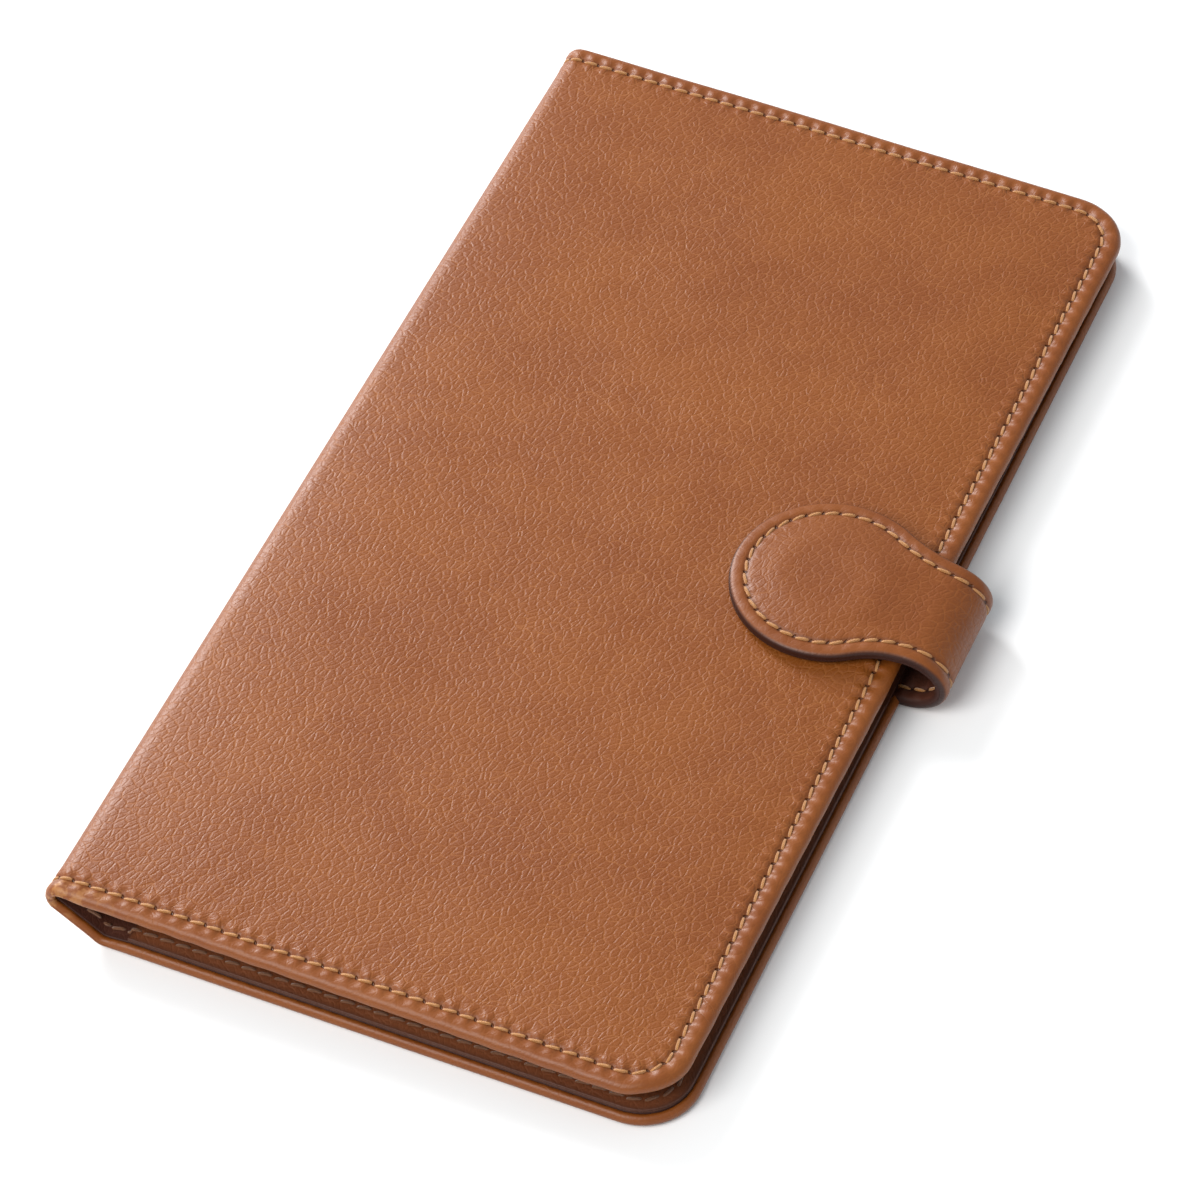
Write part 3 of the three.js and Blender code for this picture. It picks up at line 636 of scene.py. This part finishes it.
def strap_grid(head_lines, a_lines, v_lines):
    """Points of the head's round end, then of everything from the snap's centre to the strap."""
    u = np.concatenate([head_lines, 0 * a_lines])
    a_all = np.concatenate([SNAP_X + 0 * head_lines, a_lines])
    u, v = np.meshgrid(u, v_lines, indexing="ij")
    a_all = np.broadcast_to(a_all[:, None], u.shape)
    largest = np.maximum(np.abs(u), np.abs(v))
    scale = HEAD_RADIUS * largest / np.maximum(np.hypot(u, v), 1e-9)
    from_edge = HEAD_RADIUS * (1 - np.abs(v))
    exact_v = 1 - TAB_EXACT / HEAD_RADIUS
    inner = half_width(a_all, TAB_EXACT)
    b_near = np.sign(v) * half_width(a_all, np.minimum(from_edge, TAB_EXACT))
    b_body = np.where(from_edge <= TAB_EXACT, b_near, v / exact_v * inner)
    d_body = np.where(
        from_edge <= TAB_EXACT, from_edge, TAB_EXACT + inner * (1 - np.abs(v) / exact_v),
    )
    in_head = u < 0
    a = np.where(in_head, SNAP_X + u * scale, a_all)
    b = np.where(in_head, v * scale, b_body)
    return a, b, np.where(in_head, HEAD_RADIUS * (1 - largest), d_body)


def tab_path(inset, a_end):
    """The tab's outline at an inset, from the strap's -Y side round the head to its +Y side."""
    legs = np.linspace(a_end, SNAP_X, PATH_POINTS)
    turn = np.linspace(math.pi / 2, -math.pi / 2, PATH_POINTS)[1:-1]
    radius = HEAD_RADIUS - inset
    head_a = SNAP_X - radius * np.cos(turn)
    head_b = -radius * np.sin(turn)
    a = np.concatenate([legs, head_a, legs[::-1]])
    b = np.concatenate([-half_width(legs, inset), head_b, half_width(legs[::-1], inset)])
    length = np.concatenate([[0], np.cumsum(np.hypot(np.diff(a), np.diff(b)))])
    return a, b, length


def tab_position(a, b, path):
    """How far along the tab's seam a point of the tab lies."""
    path_a, _, length = path
    low = np.interp(-a, -path_a[:PATH_POINTS], length[:PATH_POINTS])
    high = np.interp(a, path_a[-PATH_POINTS:], length[-PATH_POINTS:])
    turn = np.arctan2(np.maximum(SNAP_X - a, 0), -b)
    head = length[PATH_POINTS - 1] + turn * (HEAD_RADIUS - TAB_SEAM_INSET)
    return np.where(a < SNAP_X, head, np.where(b < 0, low, high))


def loop_angle(k):
    """Where piece k of the strap starts on the loop: 0 at the tab, STRAP_PIECES at the cover."""
    return LOOP_START + k * LOOP_STEP * LOOP_RADIUS


STRAP_END = loop_angle(STRAP_PIECES) + LOOP_START - BACK_EDGE + STRAP_TUCK
TAB_PATH = tab_path(TAB_SEAM_INSET, loop_angle(1))
TAB_PITCH = TAB_PATH[2][-1] / round(TAB_PATH[2][-1] / STITCH_PITCH)
CORE_INSET = 3.3
CORE_HALF = 0.27
SHEET_GAP = 0.02
TAB_BEAD = 0.14
TAB_UV_SHIFT = {1: 700, -1: 1400}


def head_lines_for(zone, count):
    edge = 1 - np.asarray(zone) / HEAD_RADIUS
    return np.concatenate([-edge, np.linspace(-edge[-1], 0, count)[1:-1]])


def v_lines_for(zone):
    edge = 1 - np.asarray(zone) / HEAD_RADIUS
    inner = np.linspace(edge[-1], -edge[-1], 24)[1:-1]
    return np.concatenate([-edge, inner[::-1], edge[::-1]])


def strap_sheet(name, above, head_lines, a_lines, position):
    """The outer leather (above is 1) or the lining (-1) of the tab or of a stretch of strap."""
    a, b, distance = strap_grid(head_lines, a_lines, v_lines_for(TAB_ZONE))
    drop = rounded_depth(distance, TAB_RIM_RADIUS)
    relief = seam_relief(distance, TAB_SEAM_INSET, TAB_BEAD)
    outer = above * (TAB_HALF_THICKNESS - drop + relief)
    inner = above * (SHEET_GAP + np.where(distance < CORE_INSET, 0, CORE_HALF))
    faces = [strap_point(a, b, h, distance) for h in (outer, inner)]
    uv = np.stack([a, b], -1) + TAB_UV_SHIFT[above]
    dark = 1 - smoothstep(0.1 * TAB_RIM_RADIUS, 0.75 * TAB_RIM_RADIUS, distance)
    values = {
        "seam_at": position(a, b),
        "seam_in": distance + SEAM_INSET - TAB_SEAM_INSET,
        "rim": np.stack([dark, 0 * dark + 1]),
        "worn": 0,
    }
    return shell(name, *faces, uv, uv, values)


def strap_stitches(name, above, place_flat, length, pitch):
    def place(t, lateral, height):
        a, b = place_flat(t, lateral)
        h = above * (TAB_HALF_THICKNESS - SEAM_DEPTH + height)
        return strap_point(a, b, h, TAB_SEAM_INSET + 0 * a)

    return stitches(name, place, length, pitch)


def joined(name, objects):
    """One mesh from several."""
    with bpy.context.temp_override(
        active_object=objects[0], selected_editable_objects=objects, selected_objects=objects,
    ):
        bpy.ops.object.join()
    objects[0].name = name
    return objects[0]


# ---- Materials ----
class Shader:
    """A material's node tree, with short calls for the nodes that the finishes share."""

    def __init__(self, name):
        self.material = bpy.data.materials.new(name)
        self.material.use_nodes = True
        self.tree = self.material.node_tree
        self.tree.nodes.clear()

    def add(self, kind, inputs=None, **settings):
        node = self.tree.nodes.new("ShaderNode" + kind)
        for key, value in settings.items():
            setattr(node, key, value)
        for key, value in (inputs or {}).items():
            if isinstance(value, bpy.types.NodeSocket):
                self.tree.links.new(value, node.inputs[key])
            else:
                node.inputs[key].default_value = value
        return node

    def math(self, operation, *values):
        return self.add("Math", dict(enumerate(values)), operation=operation).outputs[0]

    def times(self, a, b):
        return self.math("MULTIPLY", a, b)

    def add_times(self, a, b, c):
        """a times b, plus c."""
        return self.math("MULTIPLY_ADD", a, b, c)

    def ramp(self, value, low, high, start=0.0, stop=1.0):
        """value from low to high, smoothly turned into start to stop."""
        inputs = {"Value": value, "From Min": low, "From Max": high, "To Min": start, "To Max": stop}
        return self.add("MapRange", inputs, interpolation_type="SMOOTHSTEP").outputs[0]

    def attribute(self, name):
        return self.add("Attribute", attribute_name=name).outputs["Fac"]

    def mix(self, factor, a, b, blend="MIX"):
        inputs = {0: factor, 6: a, 7: b}
        return self.add("Mix", inputs, data_type="RGBA", blend_type=blend).outputs[2]

    def noise(self, vector, scale, detail=3.0, roughness=0.5, output="Fac"):
        inputs = {"Vector": vector, "Scale": scale, "Detail": detail, "Roughness": roughness}
        return self.add("TexNoise", inputs, noise_dimensions="2D").outputs[output]

    def millimetres(self, turn=0.0, stretch=(1.0, 1.0)):
        """The leather's flat coordinates in millimetres, turned and stretched."""
        uv = self.add("UVMap", uv_map="grain").outputs[0]
        scale = (stretch[0] / MM, stretch[1] / MM, 1)
        turned = self.add("Mapping", {"Vector": uv, "Rotation": (0, 0, turn)}).outputs[0]
        return self.add("Mapping", {"Vector": turned, "Scale": scale}).outputs[0]

    def bent(self, vector, scale, amount):
        """vector pushed about by noise, so that a pattern made with it has no straight lines."""
        noise = self.noise(vector, scale, 2.0, output="Color")
        centred = self.add("VectorMath", {0: noise, 1: (0.5, 0.5, 0.5)}, operation="SUBTRACT")
        inputs = {0: centred.outputs[0], "Scale": amount}
        pushed = self.add("VectorMath", inputs, operation="SCALE").outputs[0]
        return self.add("VectorMath", {0: vector, 1: pushed}, operation="ADD").outputs[0]

    def cells(self, vector, scale):
        """The distance from the edge of a cell."""
        settings = {"feature": "DISTANCE_TO_EDGE", "voronoi_dimensions": "2D"}
        return self.add("TexVoronoi", {"Vector": vector, "Scale": scale}, **settings).outputs[0]

    def bump(self, height, distance, normal=None):
        inputs = {"Height": height, "Distance": distance, "Strength": 1.0}
        if normal is not None:
            inputs["Normal"] = normal
        return self.add("Bump", inputs).outputs[0]

    def finish(self, inputs):
        self.add("OutputMaterial", {0: self.add("BsdfPrincipled", inputs).outputs[0]})
        return self.material


def linear(*colour):
    """A colour given as 0-255 display values, for a shader."""
    values = np.array(colour) / 255
    return (*np.where(values <= 0.04045, values / 12.92, ((values + 0.055) / 1.055) ** 2.4), 1.0)


GRAIN_TURN = 0.5
GRAIN_STRETCH = (1.0, 0.62)
LARGE_CELLS, SMALL_CELLS, COARSE_CELLS = 0.84, 1.6, 0.2  # per millimetre
PORES, STAINS, PATCHES = 3.4, 0.12, 0.035  # per millimetre
CREASE_TINT = 0.4
# Painted shade in the seam's groove and in the needle holes; the worn tint is rubbed-off dye.
GROOVE_SHADE_TINT, HOLE_SHADE_TINT, WORN_TINT = 0.3, 0.68, 0.4
HOLE_SKEW = 0.35  # a slanted stitch enters above one side of its hole
HOLE_NARROWING = 1.55
GRAIN_HEIGHT, SEAM_HEIGHT = 0.00005, 0.00016  # metres
HOLE_DEPTH, GATHER_DEPTH = -2.2, -1.2  # in seam heights
# Painted shade: the dark colour painted into each needle hole.
HOLE_SHADE = linear(52, 24, 12)
WORN = linear(190, 138, 82)


def leather_grain(s, plain):
    """The creases between the leather's cells, and the height of the cells."""
    drawn = s.millimetres(GRAIN_TURN, GRAIN_STRETCH)
    large = s.cells(s.bent(s.bent(drawn, 0.3, 1.0), 1.5, 0.16), LARGE_CELLS)
    small = s.cells(s.bent(drawn, 0.9, 0.3), SMALL_CELLS)
    coarse = s.cells(s.bent(s.millimetres(-0.5, (1.0, 0.8)), 0.12, 6.0), COARSE_CELLS)
    uneven = s.ramp(s.noise(plain, 0.5, 2.0), 0.35, 0.68, 0.25, 1.0)
    large_crease = s.times(s.ramp(large, 0.0, 0.1, 1.0, 0.0), uneven)
    small_crease = s.ramp(small, 0.0, 0.1, 0.35, 0.0)
    where_coarse = s.ramp(s.noise(plain, 0.05, 2.0), 0.5, 0.66)
    coarse_crease = s.times(s.ramp(coarse, 0.0, 0.035, 0.8, 0.0), where_coarse)
    creases = s.math("MAXIMUM", s.math("MAXIMUM", large_crease, small_crease), coarse_crease)
    tight = s.ramp(s.attribute("seam_in"), 2.0, 5.5, 0.35, 1.0)
    dome = s.add_times(s.ramp(small, 0.0, 0.3), 0.3, s.ramp(large, 0.0, 0.22))
    height = s.add_times(coarse_crease, -0.7, s.times(dome, tight))
    return s.times(creases, tight), height


def needle_holes(s, in_seam, at):
    """1 in each hole of the seam. in_seam is measured across the seam, and at in stitches."""
    nearest = s.math("SUBTRACT", s.math("FRACT", s.math("ADD", at, 0.5)), 0.5)
    skew = s.add_times(in_seam, HOLE_SKEW, s.times(nearest, STITCH_PITCH))
    hole_at = s.math("POWER", s.times(skew, HOLE_NARROWING), 2.0)
    hole_off = s.math("POWER", in_seam, 2.0)
    return s.ramp(s.math("SQRT", s.math("ADD", hole_at, hole_off)), 0.15, 0.52, 1.0, 0.0)


def leather(name, colours, roughness, grain=1.0, coat=0.05, gather=1.0):
    """Full-grain leather: small drawn-out cells with paler creases, slow colour changes, needle
    holes along the seam with painted shade in them and in the seam's groove, a darker cut edge, and
    gold where the dye has worn off."""
    dark, light, crease, rim = (linear(*colour) for colour in colours)
    s = Shader(name)
    plain = s.millimetres()
    pores = s.noise(plain, PORES, 4.0, 0.65)
    patches = s.noise(plain, PATCHES, 3.0, 0.55)
    stains = s.noise(plain, STAINS, 4.0, 0.6)
    creases, height = leather_grain(s, plain)

    tone = s.add_times(stains, 0.35, s.times(patches, 0.65))
    colour = s.mix(s.ramp(tone, 0.3, 0.72), dark, light)
    colour = s.mix(s.ramp(pores, 0.4, 0.68, 0.0, 0.3), colour, dark)
    colour = s.mix(s.times(creases, CREASE_TINT), colour, crease)

    in_seam = s.math("SUBTRACT", s.attribute("seam_in"), SEAM_INSET)
    beside = s.math("ABSOLUTE", in_seam)
    at = s.attribute("seam_at")
    hole = needle_holes(s, in_seam, at)
    # Painted shade: the leather is darkened along the groove that the stitches pull in.
    groove_shade = s.ramp(beside, 0.25, 1.0, 1.0, 0.0)
    colour = s.mix(s.times(groove_shade, GROOVE_SHADE_TINT), colour, rim)
    # Painted shade: each needle hole is painted dark.
    colour = s.mix(s.times(hole, HOLE_SHADE_TINT), colour, HOLE_SHADE)
    colour = s.mix(s.attribute("rim"), colour, rim)
    worn = s.times(s.attribute("worn"), s.ramp(s.noise(plain, 0.5, 3.0), 0.42, 0.6))
    on_bead = s.ramp(s.attribute("seam_in"), 2.4, 3.2, 1.0, 0.0)
    colour = s.mix(s.times(s.times(worn, on_bead), WORN_TINT), colour, WORN)

    # Between the holes the leather is drawn up on both sides of the thread.
    wave = s.math("COSINE", s.times(at, 2 * math.pi))
    gathered = s.times(wave, s.ramp(beside, 0.4, 3.0, 1.0, 0.0))
    drawn_up = s.add_times(hole, HOLE_DEPTH, s.times(gathered, GATHER_DEPTH * gather))
    normal = s.bump(s.add_times(pores, 0.35, height), GRAIN_HEIGHT * grain)
    normal = s.bump(drawn_up, SEAM_HEIGHT, normal)
    gloss = s.add_times(creases, 0.16, s.add_times(stains, 0.14, roughness - 0.09))
    return s.finish({
        "Base Color": colour,
        "Roughness": gloss,
        "Normal": normal,
        "Coat Weight": coat,
        "Coat Roughness": 0.34,
        "Specular IOR Level": 0.34,
    })


def thread_finish(name, dark, light):
    s = Shader(name)
    plain = s.millimetres(0.75)
    ply = s.add("TexWave", {"Vector": plain, "Scale": 1.5, "Distortion": 0.4}, wave_type="BANDS")
    fluff = s.noise(s.millimetres(), 9.0, 4.0, 0.7)
    twist = ply.outputs["Fac"]
    colour = s.mix(s.add_times(fluff, 0.5, s.times(twist, 0.5)), dark, light)
    height = s.add_times(fluff, 0.4, twist)
    return s.finish({
        "Base Color": colour, "Roughness": 0.55, "Normal": s.bump(height, 0.00008),
        "Sheen Weight": 0.25, "Sheen Roughness": 0.4,
    })


def board_finish(name, dark, light, weave):
    """Pressed board or a felt pad: short fibres in all directions."""
    s = Shader(name)
    plain = s.millimetres()
    fibres = s.noise(s.millimetres(0.4, (1.0, 0.2)), weave, 5.0, 0.7)
    specks = s.noise(plain, weave * 2.2, 3.0, 0.6)
    colour = s.mix(s.add_times(specks, 0.5, s.times(fibres, 0.5)), dark, light)
    return s.finish({"Base Color": colour, "Roughness": 0.92, "Normal": s.bump(fibres, 0.0001)})


def metal_finish(name, dark, light, roughness, metallic):
    """Plated sheet with fine turning marks and a few dull patches. It reads object coordinates,
    because a CAD node has no flat ones."""
    s = Shader(name)
    where = s.add("TexCoord").outputs["Object"]
    marks = s.add("TexNoise", {"Vector": where, "Scale": 2600.0, "Detail": 3.0}).outputs["Fac"]
    patches = s.add("TexNoise", {"Vector": where, "Scale": 260.0, "Detail": 4.0}).outputs["Fac"]
    colour = s.mix(s.ramp(patches, 0.35, 0.7), dark, light)
    gloss = s.add_times(patches, 0.22, s.add_times(marks, 0.12, roughness - 0.15))
    return s.finish({
        "Base Color": colour, "Metallic": metallic, "Roughness": gloss,
        "Normal": s.bump(marks, 0.00002),
    })


# Each leather's dark, light, crease and rim colours.
TAN = leather(
    "tan_leather", ((116, 59, 16), (126, 68, 20), (160, 100, 46), (84, 40, 16)), roughness=0.44,
)
TAB_TAN = leather(
    "tab_leather", ((112, 56, 14), (124, 66, 18), (148, 88, 36), (46, 18, 9)),
    roughness=0.46, grain=0.8, gather=0.25,
)
LINING = leather(
    "lining_leather", ((66, 31, 18), (73, 36, 22), (92, 50, 33), (52, 22, 13)),
    roughness=0.62, grain=0.6, coat=0.0,
)
POCKET = leather(
    "pocket_leather", ((102, 54, 27), (112, 61, 31), (134, 80, 48), (66, 32, 16)),
    roughness=0.58, grain=0.7,
)
THREAD = thread_finish("golden_thread", linear(146, 90, 40), linear(206, 148, 84))
INSIDE_THREAD = thread_finish("inside_thread", linear(92, 54, 30), linear(134, 86, 50))
BOARD = board_finish("paperboard", linear(150, 134, 108), linear(198, 184, 156), 1.2)
FELT = board_finish("padding_felt", linear(196, 188, 172), linear(226, 220, 206), 0.7)
BRASS = metal_finish("brass", linear(172, 134, 72), linear(214, 178, 112), 0.34, 1.0)
MAGNET = metal_finish("magnet", linear(48, 48, 50), linear(84, 84, 88), 0.55, 0.6)

# ---- Covers ----
TOP_FOLD_START = (BOTTOM_END_X - 2 * HALF_SLOPE * COS, BOTTOM_RISE + 2 * HALF_SLOPE * SIN)
TOP_FOLD_TURN = TOP_RADIUS * (1 + COS)


def metres(x, z):
    return (x * MM, 0, z * MM)


def bend_at_fold(piece, side):
    """For a piece that reaches the middle of the spine, bakes its placement into its mesh; the fold's
    points are worked out, but nothing bends the piece.
    """
    if side == "front":
        x, z = TOP_FOLD_START
        end = metres(x + TOP_FOLD_TURN * SIN, z + TOP_FOLD_TURN * COS)
        metres(x, z)
        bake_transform(piece)
        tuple(end)
    else:
        start, end = metres(BOTTOM_CENTRE_X, 0), metres(BOTTOM_END_X, 0)
        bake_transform(piece)
        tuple(start)
        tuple(end)


def node_span(name, side):
    """A CAD sheet's reach in flat coordinates: q from the free edge, then y."""
    low, high = node_box(name)
    edge = BACK_EDGE if side == "back" else FRONT_EDGE
    return (edge - high[0], edge - low[0]), (low[1], high[1])


def stiffeners(side):
    for kind, material, slot in (("board", BOARD, "paperboard"), ("padding", FELT, "padding")):
        node = f"{side}_{kind}"
        (q0, _), y_span = node_span(node, side)
        radius = max(CORNER_RADIUS - q0, 1.0)
        q_span = (q0, FLAT[side] - 1.5)
        depths = depth_range(node, side)
        piece = layer(node + "_sheet", side, depths, q_span, y_span, (radius,) * 2, 4.0)
        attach(wear(piece, material, node, slot=slot), side + "_cover")


def lining(side):
    node = side + "_lining"
    (q0, _), y_span = node_span(node, side)
    depths = depth_range(node, side)
    piece = layer(
        node + "_leather", side, depths, (q0, SPAN[side]), y_span,
        (CORNER_RADIUS - q0,) * 2, 2.0, open_spine=True,
    )
    bend_at_fold(wear(piece, LINING, node, "spine_lining", slot="lining_leather"), side)


def pocket(node, side, name, step=2.5, notch_radius=0.0, rounded=True):
    """A pocket's or a card slot's leather, with a thumb notch in its mouth if it has a radius."""
    q_span, y_span = node_span(node, side)
    radius = CORNER_RADIUS - q_span[0] if rounded else 0
    middle = sum(q_span) / 2

    def mouth(q):
        return y_span[1] - np.sqrt(np.maximum(notch_radius**2 - (q - middle) ** 2, 0))

    piece = layer(
        name, side, depth_range(node, side), q_span, y_span, (radius, 0), step,
        mouth if notch_radius else None,
    )
    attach(wear(piece, POCKET, node, slot="pocket_leather"), side + "_cover")


def innermost(side):
    """The depth of the cover's inner face at a flat point, over its lining and pockets."""
    faces = [(depth_range(side + "_lining", side)[1], None, None)]
    for node in (side + "_ticket_pocket", side + "_passport_pocket"):
        if node in frame["nodes"]:
            faces.append((depth_range(node, side)[1], *node_span(node, side)))

    def depth(q, y):
        found = layer_depth(side, faces[0][0] + 0 * q, q)
        for face, q_span, y_span in faces[1:]:
            over = (q > q_span[0]) & (q < q_span[1]) & (y > y_span[0]) & (y < y_span[1])
            found = np.where(over, face, found)
        return found

    return depth


def cover(side):
    piece = wear(
        outer_leather(side), TAN, side + "_outer_leather", "spine_outer_leather",
        slot="outer_leather",
    )
    bend_at_fold(piece, side)
    stiffeners(side)
    lining(side)
    thread = side + "_seam_thread"
    rise = STITCH_RISE if side == "front" else SEAM_DEPTH - 0.05
    outside = cover_stitches(side, None, side + "_seam_stitches", rise)
    bend_at_fold(wear(outside, THREAD, thread, slot="thread"), side)
    inside = cover_stitches(side, innermost(side), side + "_seam_stitches_inside")
    bend_at_fold(wear(inside, INSIDE_THREAD, thread, slot="thread"), side)


cover("back")
cover("front")
pocket("back_ticket_pocket", "back", "back_ticket_pocket_leather")
pocket("front_ticket_pocket", "front", "front_ticket_pocket_leather")
pocket("back_passport_pocket", "back", "passport_pocket_leather", step=1.0, notch_radius=9.0)
for number in range(1, 5):
    node = f"card_slot_{number}"
    pocket(node, "front", node + "_leather", step=3.0, rounded=False)

# ---- Tab and strap ----
STRAP_STEP = 0.65


def bend_on_loop(piece):
    """Bakes a strap piece's placement into its mesh; nothing bends it from the link before it to the
    one after it.
    """
    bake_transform(piece)


def strap_nodes(k, kind):
    """The CAD nodes that piece k of the strap stands for."""
    links = [f"strap_link_{i}_{kind}" for i in (4, 3, 2, 1)]
    tab = "tab_lining" if kind == "lining" else "tab_outer_leather"
    return [tab, *links, f"strap_root_{kind}"][k:k + 2]


def strap_piece(k):
    """Piece k of the strap, from 0, which holds the tab, to 4, which enters the back cover."""
    first = SNAP_X if k == 0 else loop_angle(k)
    last = STRAP_END if k == STRAP_PIECES - 1 else loop_angle(k + 1)
    a_lines = np.linspace(first, last, round((last - first) / STRAP_STEP) + 1)
    head = head_lines_for(TAB_ZONE, 13) if k == 0 else np.array([])
    label = "tab" if k == 0 else f"strap_{k}"
    pitch = (last - first) / max(1, round((last - first) / STITCH_PITCH))

    def position(a, b):
        return tab_position(a, b, TAB_PATH) / TAB_PITCH if k == 0 else (a - first) / pitch

    for above, kind, material in ((1, "outer", TAB_TAN), (-1, "lining", LINING)):
        sheet = strap_sheet(f"{label}_{kind}_leather", above, head, a_lines, position)
        slot = "outer_leather" if above > 0 else "lining_leather"
        bend_on_loop(wear(sheet, material, *strap_nodes(k, kind), slot=slot))
        if k == 0:
            threads = strap_stitches(
                f"{label}_{kind}_stitches", above, tab_seam_place, TAB_PATH[2][-1], TAB_PITCH,
            )
        else:
            sides = [
                strap_stitches(
                    f"{label}_{kind}_stitches_{edge}", above, strap_seam_place(first, edge),
                    last - first, pitch,
                )
                for edge in (-1, 1)
            ]
            threads = joined(f"{label}_{kind}_stitches", sides)
        bend_on_loop(wear(threads, THREAD, "tab_seam_thread", slot="thread"))


def tab_seam_place(t, lateral):
    a, b, length = TAB_PATH
    step = 0.2
    before, at, after = (
        np.stack([np.interp(t + shift, length, line) for line in (a, b)])
        for shift in (-step, 0, step)
    )
    by_a, by_b = (after - before) / np.maximum(np.hypot(*(after - before)), 1e-9)
    return at[0] - by_b * lateral, at[1] + by_a * lateral


def strap_seam_place(first, edge):
    def place(t, lateral):
        return first + t, edge * (STRAP_HALF - TAB_SEAM_INSET) + lateral

    return place


for k in range(STRAP_PIECES):
    strap_piece(k)


def tab_core():
    """The stiffener between the tab's two leathers."""
    zone = [CORE_INSET + 0.1, CORE_INSET + 0.3, 5.0, TAB_EXACT]
    a_lines = np.linspace(SNAP_X, LOOP_START - 3, 14)
    a, b, distance = strap_grid(head_lines_for(zone, 8), a_lines, v_lines_for(zone))
    faces = [strap_point(a, b, h, distance) for h in (CORE_HALF, -CORE_HALF)]
    uv = np.stack([a, b], -1)
    return shell("tab_core_board", *faces, uv, uv)


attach(wear(tab_core(), BOARD, "tab_core", slot="paperboard"), "tab")

# ---- Snap: the CAD pieces keep their shape ----
for node in ("magnet_case", "magnet_plate", "magnet_washer", "stud_plate", "stud_washer"):
    wear(frame["nodes"][node], BRASS)
wear(frame["nodes"]["magnet_ring"], MAGNET)

# ---- Camera, floor and light ----
CAMERA_PLACE = (278.38, -629.53, 796.06)
CAMERA_AZIMUTH, CAMERA_ELEVATION, CAMERA_ROLL = (math.radians(a) for a in (24.129, 49.433, -1.286))
SENSOR, LENS = 36.0, 170.23  # millimetres
FLOOR_HEIGHT = -0.0002  # metres


def camera():
    data = bpy.data.cameras.new("camera")
    data.sensor_width = SENSOR
    data.lens = LENS
    made = placed("camera", data)
    turned = Matrix.Rotation(CAMERA_AZIMUTH, 4, "Z")
    turned = turned @ Matrix.Rotation(math.pi / 2 - CAMERA_ELEVATION, 4, "X")
    turned = turned @ Matrix.Rotation(CAMERA_ROLL, 4, "Z")
    made.matrix_world = Matrix.Translation(Vector(CAMERA_PLACE) * MM) @ turned
    bpy.context.scene.camera = made


def area_light(name, place, size, power, colour=(1, 1, 1)):
    """A lamp that points at the wallet."""
    data = bpy.data.lights.new(name, "AREA")
    data.shape = "RECTANGLE"
    data.size, data.size_y = size
    data.energy = power
    data.color = colour
    made = placed(name, data)
    made.location = place
    made.rotation_euler = (-Vector(place)).to_track_quat("-Z", "Y").to_euler()


def studio():
    mesh = bpy.data.meshes.new("floor")
    corners = [(x, y, FLOOR_HEIGHT) for x, y in ((-3, -3), (3, -3), (3, 3), (-3, 3))]
    mesh.from_pydata(corners, [], [(0, 1, 2, 3)])
    floor = placed("floor", mesh)
    s = Shader("floor")
    floor.data.materials.append(s.finish({
        "Base Color": (0.86, 0.865, 0.87, 1), "Roughness": 0.9, "Specular IOR Level": 0.1,
    }))
    world = bpy.data.worlds.new("studio")
    world.use_nodes = True
    background = world.node_tree.nodes["Background"].inputs
    background["Color"].default_value = (0.94, 0.97, 1.0, 1)
    background["Strength"].default_value = 0.56
    bpy.context.scene.world = world
    bpy.context.scene.view_settings.view_transform = "Standard"
    area_light("key", (-0.42, -0.95, 1.2), (0.9, 0.9), 22, (1.0, 0.985, 0.96))
    area_light("sheen", (-1.0, 0.6, 0.64), (0.4, 0.95), 23)


camera()
studio()
